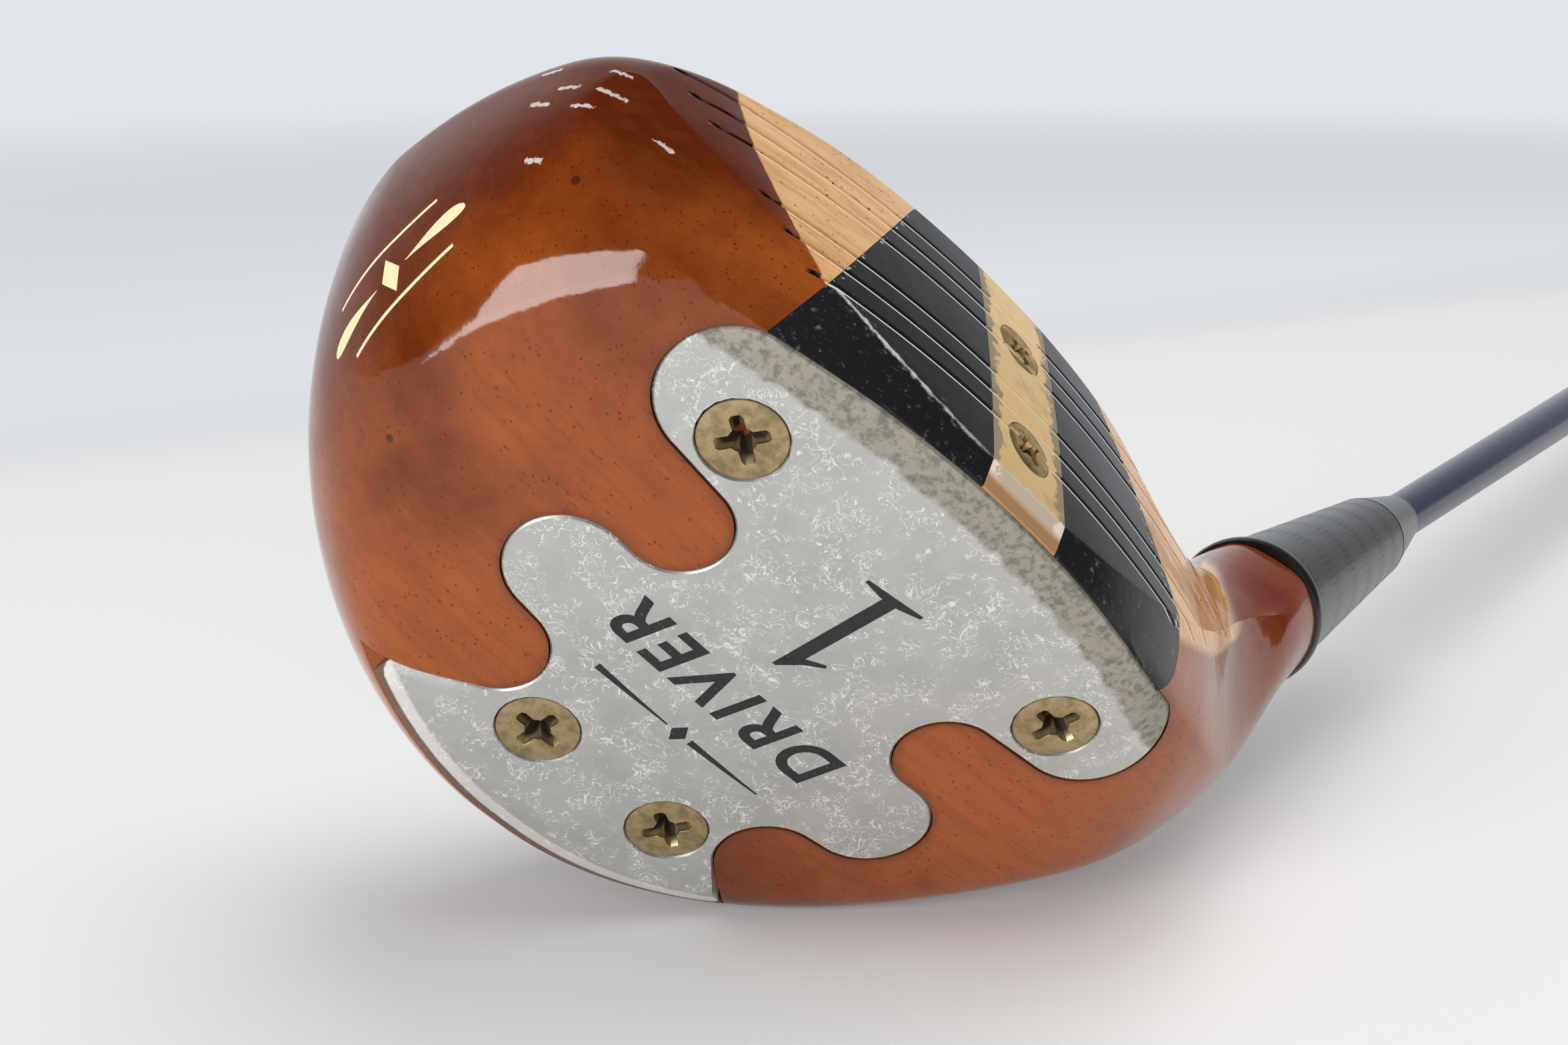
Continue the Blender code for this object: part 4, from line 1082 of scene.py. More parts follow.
def aged_brass_material(name, colour, dirt_colour):
    """Old screw brass: turned lines on the head, grime in the hollows."""
    m = Shader(name, colour, 0.4, 1.0)
    place = m.club()
    cloud = m.noise(place, 0.5, 4.0, 0.65)
    fine = m.noise(m.stretch(place, (0.4, 2.6, 1.0), (0.0, 0.0, 0.8)), 2.2, 4.0, 0.7)
    hollow = m.attribute("rim")
    mixed = m.mix(m.step(cloud, 0.38, 0.68), colour, tuple(c * 0.6 for c in colour))
    bright = tuple(min(c * 1.5, 1.0) for c in colour)
    mixed = m.mix(m.math("MULTIPLY", m.step(fine, 0.55, 0.7), 0.4), mixed, bright)
    mixed = m.mix(hollow, mixed, dirt_colour)
    m.set("Base Color", mixed)
    m.set("Metallic", m.math("SUBTRACT", 1.0, m.math("MULTIPLY", hollow, 0.85)))
    m.set("Roughness", m.blend(m.math("MAXIMUM", hollow, m.math("MULTIPLY", cloud, 0.5)), 0.34, 0.75))
    m.bump((fine, 0.2, 0.00004), (cloud, 0.12, 0.0001))
    return m.material


def paint_material(name, colour, roughness=0.5):
    """Printed paint, slightly worn through."""
    m = Shader(name, colour, roughness)
    place = m.club()
    worn = m.step(m.noise(place, 1.6, 4.0, 0.7), 0.60, 0.72)
    m.set("Base Color", m.mix(m.math("MULTIPLY", worn, 0.45), colour, tuple(min(c + 0.18, 1.0) for c in colour)))
    m.bump((worn, 0.1, 0.00002))
    return m.material


def thread_material():
    """Varnished black thread, and the band and ferrule next to it."""
    m = Shader("varnished_black", (0.018, 0.018, 0.019), 0.34, Coat_Weight=0.35, Coat_Roughness=0.15)
    place = m.club()
    fray = m.noise(place, 1.3, 4.0, 0.65)
    m.set("Base Color", m.mix(m.step(fray, 0.5, 0.8), (0.010, 0.010, 0.011), (0.026, 0.026, 0.027)))
    m.set("Roughness", m.blend(fray, 0.26, 0.46))
    m.bump((fray, 0.12, 0.00005))
    return m.material


def shaft_material():
    """Deep navy enamel on the shaft, with faint polishing marks."""
    m = Shader("navy_enamel", (0.016, 0.022, 0.055), 0.28, Specular_IOR_Level=0.22)
    place = m.club()
    cloud = m.noise(place, 0.12, 3.0)
    hair = m.step(m.noise(m.stretch(place, (0.2, 0.2, 1.2)), 1.8, 4.0, 0.7), 0.62, 0.68)
    colour = m.mix(cloud, (0.012, 0.017, 0.046), (0.022, 0.030, 0.070))
    m.set("Base Color", m.mix(m.math("MULTIPLY", hair, 0.25), colour, (0.09, 0.10, 0.14)))
    m.set("Roughness", m.blend(hair, 0.18, 0.32))
    m.bump((cloud, 0.08, 0.0003))
    return m.material


def rubber_material():
    """Matt black rubber, dusty and finely pitted."""
    m = Shader("grip_rubber", (0.022, 0.022, 0.022), 0.75, Specular_IOR_Level=0.35)
    place = m.club()
    dust = m.noise(place, 0.14, 4.0, 0.6)
    pits = m.noise(place, 2.2, 2.0)
    m.set("Base Color", m.mix(m.step(dust, 0.45, 0.8), (0.020, 0.020, 0.020), (0.060, 0.058, 0.054)))
    m.set("Roughness", m.blend(dust, 0.68, 0.86))
    m.bump((pits, 0.3, 0.00008))
    return m.material


def hidden_material(name, colour, roughness, metallic):
    """Finish for a piece that is kept as it was packed: fine cast or drawn surface."""
    m = Shader(name, colour, roughness, metallic)
    place = m.node("ShaderNodeTexCoord").outputs["Object"]
    cast = m.noise(place, 700.0, 4.0, 0.6)
    m.set("Base Color", m.mix(cast, tuple(c * 0.75 for c in colour), colour))
    m.set("Roughness", m.blend(cast, max(roughness - 0.1, 0.05), min(roughness + 0.1, 1.0)))
    m.bump((cast, 0.2, 0.00006))
    return m.material


# ---------------------------------------------------------------- geometry nodes
def node_group(name, inputs):
    """Geometry tree with named inputs; returns the tree, its input node and its output node."""
    tree = bpy.data.node_groups.new(name, "GeometryNodeTree")
    tree.interface.new_socket("Geometry", in_out="INPUT", socket_type="NodeSocketGeometry")
    for label, kind in inputs:
        tree.interface.new_socket(label, in_out="INPUT", socket_type="NodeSocket" + kind)
    tree.interface.new_socket("Geometry", in_out="OUTPUT", socket_type="NodeSocketGeometry")
    return tree, tree.nodes.new("NodeGroupInput"), tree.nodes.new("NodeGroupOutput")


def finish_group(tree, geometry, entry, end):
    """Realize the instances and set the material, as the last two steps."""
    real = tree.nodes.new("GeometryNodeRealizeInstances")
    paint = tree.nodes.new("GeometryNodeSetMaterial")
    tree.links.new(geometry, real.inputs["Geometry"])
    tree.links.new(real.outputs["Geometry"], paint.inputs["Geometry"])
    tree.links.new(entry.outputs["Material"], paint.inputs["Material"])
    tree.links.new(paint.outputs["Geometry"], end.inputs["Geometry"])


def placed_copies_tree():
    """Copies of one object on a mesh's points, each turned by the point's own attribute."""
    known = bpy.data.node_groups.get("placed_copies")
    if known:
        return known
    tree, entry, end = node_group("placed_copies", (("Copy", "Object"), ("Size", "Float"),
                                                    ("Material", "Material")))
    info = tree.nodes.new("GeometryNodeObjectInfo")
    spread = tree.nodes.new("GeometryNodeInstanceOnPoints")
    turn = tree.nodes.new("GeometryNodeInputNamedAttribute")
    turn.data_type = "FLOAT_VECTOR"
    turn.inputs["Name"].default_value = "turn"
    tree.links.new(entry.outputs["Copy"], info.inputs["Object"])
    tree.links.new(entry.outputs["Geometry"], spread.inputs["Points"])
    tree.links.new(info.outputs["Geometry"], spread.inputs["Instance"])
    tree.links.new(turn.outputs["Attribute"], spread.inputs["Rotation"])
    tree.links.new(entry.outputs["Size"], spread.inputs["Scale"])
    finish_group(tree, spread.outputs["Instances"], entry, end)
    return tree


def winding_tree():
    """Thread wound on a cone: turns, low and high radius, length, the thread's own radius and sides."""
    tree, entry, end = node_group("winding", (("Turns", "Float"), ("Low Radius", "Float"),
                                              ("High Radius", "Float"), ("Length", "Float"),
                                              ("Thread Radius", "Float"), ("Sides", "Int"),
                                              ("Material", "Material")))
    spiral = tree.nodes.new("GeometryNodeCurveSpiral")
    spiral.inputs["Resolution"].default_value = 56
    thread = tree.nodes.new("GeometryNodeCurvePrimitiveCircle")
    sweep = tree.nodes.new("GeometryNodeCurveToMesh")
    sweep.inputs["Fill Caps"].default_value = True
    for label, socket in (("Turns", "Rotations"), ("Low Radius", "Start Radius"),
                          ("High Radius", "End Radius"), ("Length", "Height")):
        tree.links.new(entry.outputs[label], spiral.inputs[socket])
    tree.links.new(entry.outputs["Sides"], thread.inputs["Resolution"])
    tree.links.new(entry.outputs["Thread Radius"], thread.inputs["Radius"])
    tree.links.new(spiral.outputs["Curve"], sweep.inputs["Curve"])
    tree.links.new(thread.outputs["Curve"], sweep.inputs["Profile Curve"])
    finish_group(tree, sweep.outputs["Mesh"], entry, end)
    return tree


def grown(name, base_mesh, tree, **values):
    """Object with the plain mesh that a tree makes from a base mesh; inputs are set by identifier."""
    carrier = link(name + "_carrier", base_mesh)
    modifier = carrier.modifiers.new("grow", "NODES")
    modifier.node_group = tree
    for item in tree.interface.items_tree:
        key = item.name.replace(" ", "_")
        if item.in_out == "INPUT" and key in values:
            modifier[item.identifier] = values[key]
    mesh = evaluated_mesh(carrier)
    carrier.modifiers.clear()
    bpy.data.objects.remove(carrier)
    if not mesh.polygons:
        raise RuntimeError(f"{name} came out empty")
    return link(name, mesh)


def placed_copies(name, template, places, material, size=1.0):
    """Copies of a template object at placement matrices, made one piece."""
    base = bpy.data.meshes.new("places")
    base.from_pydata([tuple(place.translation) for place in places], [], [])
    turns = base.attributes.new("turn", "FLOAT_VECTOR", "POINT")
    for i, place in enumerate(places):
        turns.data[i].vector = place.to_euler()
    made = grown(name, base, placed_copies_tree(), Copy=template, Size=size, Material=material)
    bpy.data.objects.remove(template)
    return made


# ---------------------------------------------------------------- shared tools for pieces
def set_rim(obj, rule):
    """Point attribute from 0 to 1 that the finish darkens by; rule takes x, y, z arrays in mm."""
    mesh = obj.data
    flat = np.empty(len(mesh.vertices) * 3)
    mesh.vertices.foreach_get("co", flat)
    xyz = flat.reshape(-1, 3)
    old = mesh.attributes.get("rim")
    if old:
        mesh.attributes.remove(old)
    attribute = mesh.attributes.new("rim", "FLOAT", "POINT")
    values = np.clip(rule(xyz[:, 0], xyz[:, 1], xyz[:, 2]), 0.0, 1.0)
    attribute.data.foreach_set("value", values.astype(np.float32))


def distance_to_loop(x, y, loop):
    """Distance in the plane from points to a closed line."""
    ring = np.array(loop)
    start = ring
    run = np.roll(ring, -1, axis=0) - ring
    length2 = np.maximum((run ** 2).sum(1), 1e-9)
    best = np.full(len(x), 1e9)
    for (ax, ay), (rx, ry), l2 in zip(start, run, length2):
        t = np.clip(((x - ax) * rx + (y - ay) * ry) / l2, 0.0, 1.0)
        best = np.minimum(best, (x - ax - rx * t) ** 2 + (y - ay - ry * t) ** 2)
    return np.sqrt(best)


def offset_loop(loop, distance):
    """Closed line moved inwards by a distance; the loop runs anticlockwise."""
    ring = np.array(loop)
    ahead = np.roll(ring, -1, axis=0) - ring
    behind = ring - np.roll(ring, 1, axis=0)
    ahead /= np.linalg.norm(ahead, axis=1)[:, None]
    behind /= np.linalg.norm(behind, axis=1)[:, None]
    normal = np.c_[-(ahead + behind)[:, 1], (ahead + behind)[:, 0]]
    scale = np.maximum((normal ** 2).sum(1), 0.8)[:, None] / 2.0
    return ring + normal / scale * distance


def filled(loop, holes, spacing):
    """Flat triangulation inside a loop, outside round holes, with a grid of inner points."""
    loop = [Vector(p) for p in loop]
    points = list(loop)
    edges = [(i, (i + 1) % len(loop)) for i in range(len(loop))]
    for centre, radius, steps in holes:
        first = len(points)
        points += [Vector((centre[0] + radius * math.cos(2.0 * math.pi * i / steps),
                           centre[1] + radius * math.sin(2.0 * math.pi * i / steps))) for i in range(steps)]
        edges += [(first + i, first + (i + 1) % steps) for i in range(steps)]
    rim = np.array([tuple(p) for p in loop])
    low, high = rim.min(0), rim.max(0)
    grid = np.array([(x, y) for x in np.arange(low[0], high[0], spacing)
                     for y in np.arange(low[1], high[1], spacing)]).reshape(-1, 2)
    keep = distance_to_loop(grid[:, 0], grid[:, 1], rim) > spacing * 0.45
    for centre, radius, _ in holes:
        keep &= np.hypot(grid[:, 0] - centre[0], grid[:, 1] - centre[1]) > radius + spacing * 0.45
    points += [Vector(p) for p in grid[keep]]
    made = delaunay_2d_cdt(points, edges, [list(range(len(loop)))], 1, MERGED)
    verts = [tuple(v) for v in made[0]]
    triangles = []
    for face in made[2]:
        middle = np.mean([verts[i] for i in face], axis=0)
        if all(math.hypot(middle[0] - c[0], middle[1] - c[1]) > r * 0.985 for c, r, _ in holes):
            triangles.append(tuple(face))
    return verts, triangles


def slab_from_fill(verts, triangles, lay, rims=()):
    """Closed thin body over a flat triangulation: lay(x, y, level) gives a point at a level of the wall.

    Levels run from 0, the outer surface, to 1, the inner one. rims are wall rings between them:
    (level, move) pairs, where move(x, y) shifts a border point."""
    used = sorted({i for t in triangles for i in t})
    index = {old: new for new, old in enumerate(used)}
    flat = [verts[i] for i in used]
    triangles = [tuple(index[i] for i in t) for t in triangles]
    edge_count = {}
    for t in triangles:
        for a, b in zip(t, t[1:] + t[:1]):
            edge_count[(a, b)] = edge_count.get((a, b), 0) + 1
    border = [edge for edge in edge_count if (edge[1], edge[0]) not in edge_count]
    points = [lay(x, y, 0.0) for x, y in flat]
    levels = [list(range(len(flat)))]
    for level, move in rims:
        ring = {}
        for a, _ in border:
            ring[a] = len(points)
            points.append(lay(*move(*flat[a]), level))
        levels.append(ring)
    first = len(points)
    points += [lay(x, y, 1.0) for x, y in flat]
    levels.append({i: first + i for i in range(len(flat))})
    faces = list(triangles)
    faces += [tuple(first + i for i in reversed(t)) for t in triangles]
    for above, below in zip(levels, levels[1:]):
        for a, b in border:
            faces.append((above[b], above[a], below[a], below[b]))
    return points, faces


def finely(outline, longest=1.2):
    """Closed outline with points added so that no side is longer than this."""
    points = []
    for start, end in zip(outline, list(outline[1:]) + [outline[0]]):
        start, end = Vector(start), Vector(end)
        parts = max(1, math.ceil((end - start).length / longest))
        points += [tuple(start.lerp(end, i / parts)) for i in range(parts)]
    return points


def marking_mesh(name, outlines, lay, spacing=0.8):
    """Thin printed mark from closed outlines, laid on a surface."""
    meshes = []
    for outline in outlines:
        verts, triangles = filled(finely(outline), (), spacing)
        points, faces = slab_from_fill(verts, triangles, lay)
        meshes.append(mesh_of(name, points, faces))
    return joined(name, meshes)


# ---------------------------------------------------------------- pieces
class DRIVER_OT_head(bpy.types.Operator):
    """Wood of the head, cut for the plate, the insert and the score lines"""

    bl_idname = "driver.head"
    bl_label = "Head"

    def execute(self, context):
        head = head_blank("head")
        room = link("room", prism("room", plate_outline(SEAM), PLATE_LOW / 2.0, PLATE_HIGH))
        cut(room, cambered_slab("slab", PLATE_LOW, PLATE_T), "INTERSECT")
        mesh = room.data.copy()
        bpy.data.objects.remove(room)
        cut(head, mesh)
        cut(head, insert_slab("slab", SEAM / 2.0, deep=SEAM))
        cut(head, score_cutter())
        outline = np.array([p for p in plate_outline() if p[1] < PLATE_LINE_BACK])

        # darker close to the plate's border, near the sole only
        def plate_line(x, y, z):
            near = np.exp(-distance_to_loop(x, y, outline) / PLATE_LINE_W)
            return np.where(z < sole_z(x) + PLATE_LINE_UP, near, 0.0)

        set_rim(head, plate_line)
        settle(head, wood_material(), "lacquered_wood", "head_block")
        return {"FINISHED"}


class DRIVER_OT_face(bpy.types.Operator):
    """Two halves of the black insert and the brass strip between them"""

    bl_idname = "driver.face"
    bl_label = "Face insert"

    def execute(self, context):
        half = STRIP_W / 2.0
        black = insert_material()
        brass = brass_strip_material()
        parts = (("insert_toe", -CUT_HALF, INSERT_X - half - SEAM / 2.0, black, "black_insert", "face_insert_toe"),
                 ("insert_heel", INSERT_X + half + SEAM / 2.0, CUT_HALF, black, "black_insert",
                  "face_insert_heel"),
                 ("strip", INSERT_X - half, INSERT_X + half, brass, "brass", "face_strip"))
        for name, left, right, material, slot, node in parts:
            piece = head_blank(name)
            cut(piece, insert_slab("slab", 0.0), "INTERSECT")
            limits = box_mesh("limits", left, right, -CUT_HALF, CUT_BACK, FACE_LOW - CUT_ROOM,
                              FACE_HIGH + CUT_ROOM)
            cut(piece, limits, "INTERSECT")
            cut(piece, prism("room", plate_outline(SEAM), PLATE_LOW / 2.0, PLATE_T))
            cut(piece, score_cutter())
            if node == "face_strip":
                for place in strip_screw_places():
                    radius = STRIP_SCREW_D / 2.0 + STRIP_HOLE_ROOM
                    cut(piece, turned("hole", [(radius, depth) for depth in STRIP_HOLE], place))
            settle(piece, material, slot, node)
        return {"FINISHED"}


def sole_surface():
    """Height of the head's underside at a place, found on its fine skin."""
    points = head_sections(*SKIN_RINGS, SKIN_AROUND)
    rings, count = points.shape[:2]
    faces = []
    for i in range(rings - 1):
        for j in range(count):
            k = (j + 1) % count
            faces.append((i * count + j, i * count + k, (i + 1) * count + k, (i + 1) * count + j))
    tree = BVHTree.FromPolygons([tuple(p) for p in points.reshape(-1, 3)], faces)

    def height(x, y):
        hit = tree.ray_cast(Vector((x, y, UNDER_CLUB)), Vector((0.0, 0.0, 1.0)))[0]
        return hit.z if hit else math.inf

    return height, tree


def plate_loop(height, inset):
    """Visible border of the plate: front, sides and the rear line where the skirt cuts it off."""
    reach = PLATE_T - inset

    def beyond(x, y):
        return height(x, y) - float(sole_z(x)) > reach

    side = plate_side(0.0, SIDE_STEPS)
    start, end = Vector(side[-2]), Vector(side[-1])
    low, high = 0.0, 1.0
    for _ in range(CORNER_HALVINGS):
        middle = (low + high) / 2.0
        place = start.lerp(end, middle)
        if beyond(place.x, place.y):
            high = middle
        else:
            low = middle
    corner = start.lerp(end, low)
    rear = []
    for x in np.linspace(corner.x, -corner.x, REAR_STATIONS)[1:-1]:
        near, far = REAR_FROM, BODY_Y + BACK_REACH
        for _ in range(REAR_HALVINGS):
            middle = (near + far) / 2.0
            if beyond(x, middle):
                far = middle
            else:
                near = middle
        rear.append((x, near))
    heel = side[:-1] + [tuple(corner)]
    toe = [(-x, y) for x, y in reversed(heel)]
    first = heel[0]
    front = []
    for i in range(1, FRONT_STATIONS):
        x = -first[0] + 2.0 * first[0] * i / FRONT_STATIONS
        front.append((x, first[1] + (x * x - first[0] ** 2) / (2.0 * PLATE_FRONT_R)))
    loop = toe + front + heel + rear
    kept = [loop[0]]
    for place in loop[1:]:
        if math.dist(place, kept[-1]) > LOOP_GAP:
            kept.append(place)
    return kept


class DRIVER_OT_sole_plate(bpy.types.Operator):
    """Sole plate with its worn chamfer and screw holes"""

    bl_idname = "driver.sole_plate"
    bl_label = "Sole plate"

    def execute(self, context):
        chamfer = settings("plate").chamfer / MM
        thickness = PLATE_T - PLATE_BACK_ROOM
        height, _ = sole_surface()
        loop = plate_loop(height, SEAM)
        inner = offset_loop(loop, chamfer)
        holes = []
        hole_r = SCREW_HEAD_D / 2.0 + HOLE_ROOM + chamfer * HOLE_CHAMFER
        for _, place in screw_places():
            holes.append(((place.translation.x, place.translation.y), hole_r, HOLE_STEPS))
        verts, triangles = filled(inner, holes, 1.0)
        if not triangles:
            raise RuntimeError("the plate's outline doesn't close")
        grown_out = {tuple(np.round(i, 3)): tuple(o) for i, o in zip(inner, loop)}

        def to_edge(x, y):
            for centre, radius, _ in holes:
                gap = math.hypot(x - centre[0], y - centre[1])
                if abs(gap - radius) < 0.02:
                    shrink = (radius - chamfer * HOLE_CHAMFER) / radius
                    return centre[0] + (x - centre[0]) * shrink, centre[1] + (y - centre[1]) * shrink
            return grown_out.get((round(x, 3), round(y, 3)), (x, y))

        def lay(x, y, level):
            base = height(x, y)
            if math.isinf(base):
                base = float(sole_z(x)) + PLATE_T - SEAM
            sunk = LOBE_SUNK * float(smooth((LOBE_SUNK_X[0] - x) / LOBE_SUNK_X[1]))
            sunk *= float(smooth((LOBE_SUNK_Y[0] - y) / LOBE_SUNK_Y[1]))
            return x, y, base + sunk + level * thickness

        wall = chamfer * 1.1 / thickness
        points, faces = slab_from_fill(verts, triangles, lay, ((wall, to_edge), (0.9, to_edge)))
        plate = link("plate", mesh_of("plate", points, faces))
        place_of = np.array(loop)

        # darker on the plate's walls along its border, where they lie deeper than its face
        def darkening(x, y, z):
            edge = distance_to_loop(x, y, place_of)
            deep = np.clip((z - np.array([height(a, b) for a, b in zip(x, y)]) - 0.45) * 3.0, 0.0, 1.0)
            return np.where(np.isfinite(deep), deep, 1.0) * (edge < 1.0)

        set_rim(plate, darkening)
        settle(plate, plate_material(), "sole_aluminium", "sole_plate", crisp=24.0)
        return {"FINISHED"}


def screw_places():
    """Name and placement of each sole screw; local +Z points out of the sole."""
    places = []
    turns = iter(SCREW_TURNS)
    for end, (x, y) in (("front", SCREW_FRONT), ("rear", SCREW_REAR)):
        for side, sign in (("toe", -1.0), ("heel", 1.0)):
            at = Vector((sign * x, y, float(sole_z(x))))
            out = Vector((sign * x / SOLE_CAMBER, 0.0, -1.0)).normalized()
            turn = Matrix.Rotation(math.radians(next(turns)), 4, "Z")
            places.append((f"sole_screw_{end}_{side}", aim(at, out) @ turn))
    return places


def strip_screw_places():
    """Placement of the two screws in the strip; local +Z points out of the face."""
    places = []
    for z in STRIP_SCREW_Z:
        slope = math.tan(FACE_TILT) + (z - FACE_MID_Z) / ROLL_RADIUS
        out = Vector((INSERT_X / BULGE_RADIUS, -1.0, slope)).normalized()
        at = Vector((INSERT_X, float(face_y(INSERT_X, z)), z))
        places.append(aim(at, out) @ Matrix.Rotation(math.radians(STRIP_SCREW_TURN), 4, "Z"))
    return places


def screw_template(head_d, shank_d, length, sink):
    """Countersunk screw with a cross recess, its worn head at the origin; sink lowers the head."""
    head_r, shank_r = head_d / 2.0, shank_d / 2.0
    cone = (head_r - shank_r) / math.tan(math.radians(41.0))
    profile = [(0.25, -length), (shank_r, -length + 3.0), (shank_r, -cone - 0.35), (head_r, -0.35 - sink),
               (head_r, -0.16 - sink), (head_r - 0.05, -0.06 - sink), (head_r - 0.2, -sink),
               (head_r * 0.6, 0.02 - sink), (head_r * 0.2, 0.03 - sink)]
    screw = link("screw", turned("screw", profile, Matrix.Identity(4), 96))
    half, thick, deep = head_d * 0.31, head_d * 0.078, head_d * 0.27
    for angle in (0.0, math.pi / 2.0):
        turn = Matrix.Rotation(angle, 4, "Z")
        rings = []
        for level, reach, width in ((-deep, 0.42, 0.55), (-deep * 0.5, 0.80, 0.85), (-sink, 1.0, 1.0),
                                    (0.15, 1.1, 1.35), (0.8, 1.12, 1.4)):
            a, b = half * reach, thick * width
            ring = [(-a, -b * 0.6), (-a + b * 0.5, -b), (a - b * 0.5, -b), (a, -b * 0.6), (a, b * 0.6),
                    (a - b * 0.5, b), (-a + b * 0.5, b), (-a, b * 0.6)]
            rings.append([turn @ Vector((x, y, level)) for x, y in ring])
        cut(screw, ring_mesh("blade", rings))
    core = [(0.02, -deep * 1.25), (thick * 1.25, -deep * 0.75), (thick * 2.0, -sink), (thick * 2.3, 0.8)]
    cut(screw, turned("core", core, Matrix.Identity(4), 24))

    def hollow(x, y, z):
        radius = np.hypot(x, y)
        inside = np.clip((-z - sink - 0.10) * 2.2, 0.0, 1.0)
        outer = np.clip((radius - head_r + 0.16) * 5.0, 0.0, 0.85)
        return np.maximum(inside, outer)

    set_rim(screw, hollow)
    return screw


class DRIVER_OT_screws(bpy.types.Operator):
    """Four sole screws and the two screws in the strip, as placed copies"""

    bl_idname = "driver.screws"
    bl_label = "Screws"

    def execute(self, context):
        brass = aged_brass_material("aged_brass", SCREW_BRASS, SCREW_DIRT)
        names = [name for name, _ in screw_places()]
        places = [place for _, place in screw_places()]
        screw = screw_template(SCREW_HEAD_D, SCREW_SHANK_D, SCREW_L, 0.12)
        made = placed_copies("sole_screws", screw, places, brass)
        settle(made, brass, "aged_brass", *names, crisp=28.0)
        bright = aged_brass_material("strip_screw_brass", STRIP_SCREW_BRASS, STRIP_SCREW_DIRT)
        screw = screw_template(STRIP_SCREW_D, STRIP_SHANK_D, STRIP_SCREW_L, 0.03)
        made = placed_copies("strip_screws", screw, strip_screw_places(), bright)
        cut(made, score_cutter())
        settle(made, bright, "brass", "strip_screw_lower", "strip_screw_upper", crisp=28.0)
        return {"FINISHED"}


# The club's number, as outlines in its own plane: u along the line of reading, v upwards, in mm
NUMERAL_LEAN = 0.17
NUMERAL_AT = (-0.6, 0.9)
NUMERAL_TURN = math.radians(8.0)
WORD_AT = (-0.6, 21.6)
RULE_AT = (-0.4, 32.4)
PRINT_PROUD = 0.012
PRINT_T = 0.05
# The toe ornament is laid on along X from a flat place beside the toe: its start, its run and its upright
ORNAMENT_FROM = Vector((-90.0, 8.0, 16.6))
ORNAMENT_RUN = Vector((0.0, 26.5, -3.6))
ORNAMENT_UP = Vector((0.0, 0.13, 1.0))
ORNAMENT_L = 26.7
ORNAMENT_LINES = ((3.1, 0.16), (-2.7, 0.16))
NUMERAL_STEM = [(-1.0, 0.9), (0.9, 0.9), (0.9, 14.6), (-0.9, 14.6)]
NUMERAL_FOOT = [(-3.9, 0.0), (3.9, 0.0), (3.9, 0.45), (1.3, 1.0), (-1.3, 1.0), (-3.9, 0.45)]
NUMERAL_FLAG = [(-3.4, 12.6), (-3.1, 12.2), (-0.8, 13.1), (0.9, 14.2), (0.9, 15.9), (0.4, 15.9), (-1.4, 13.9)]


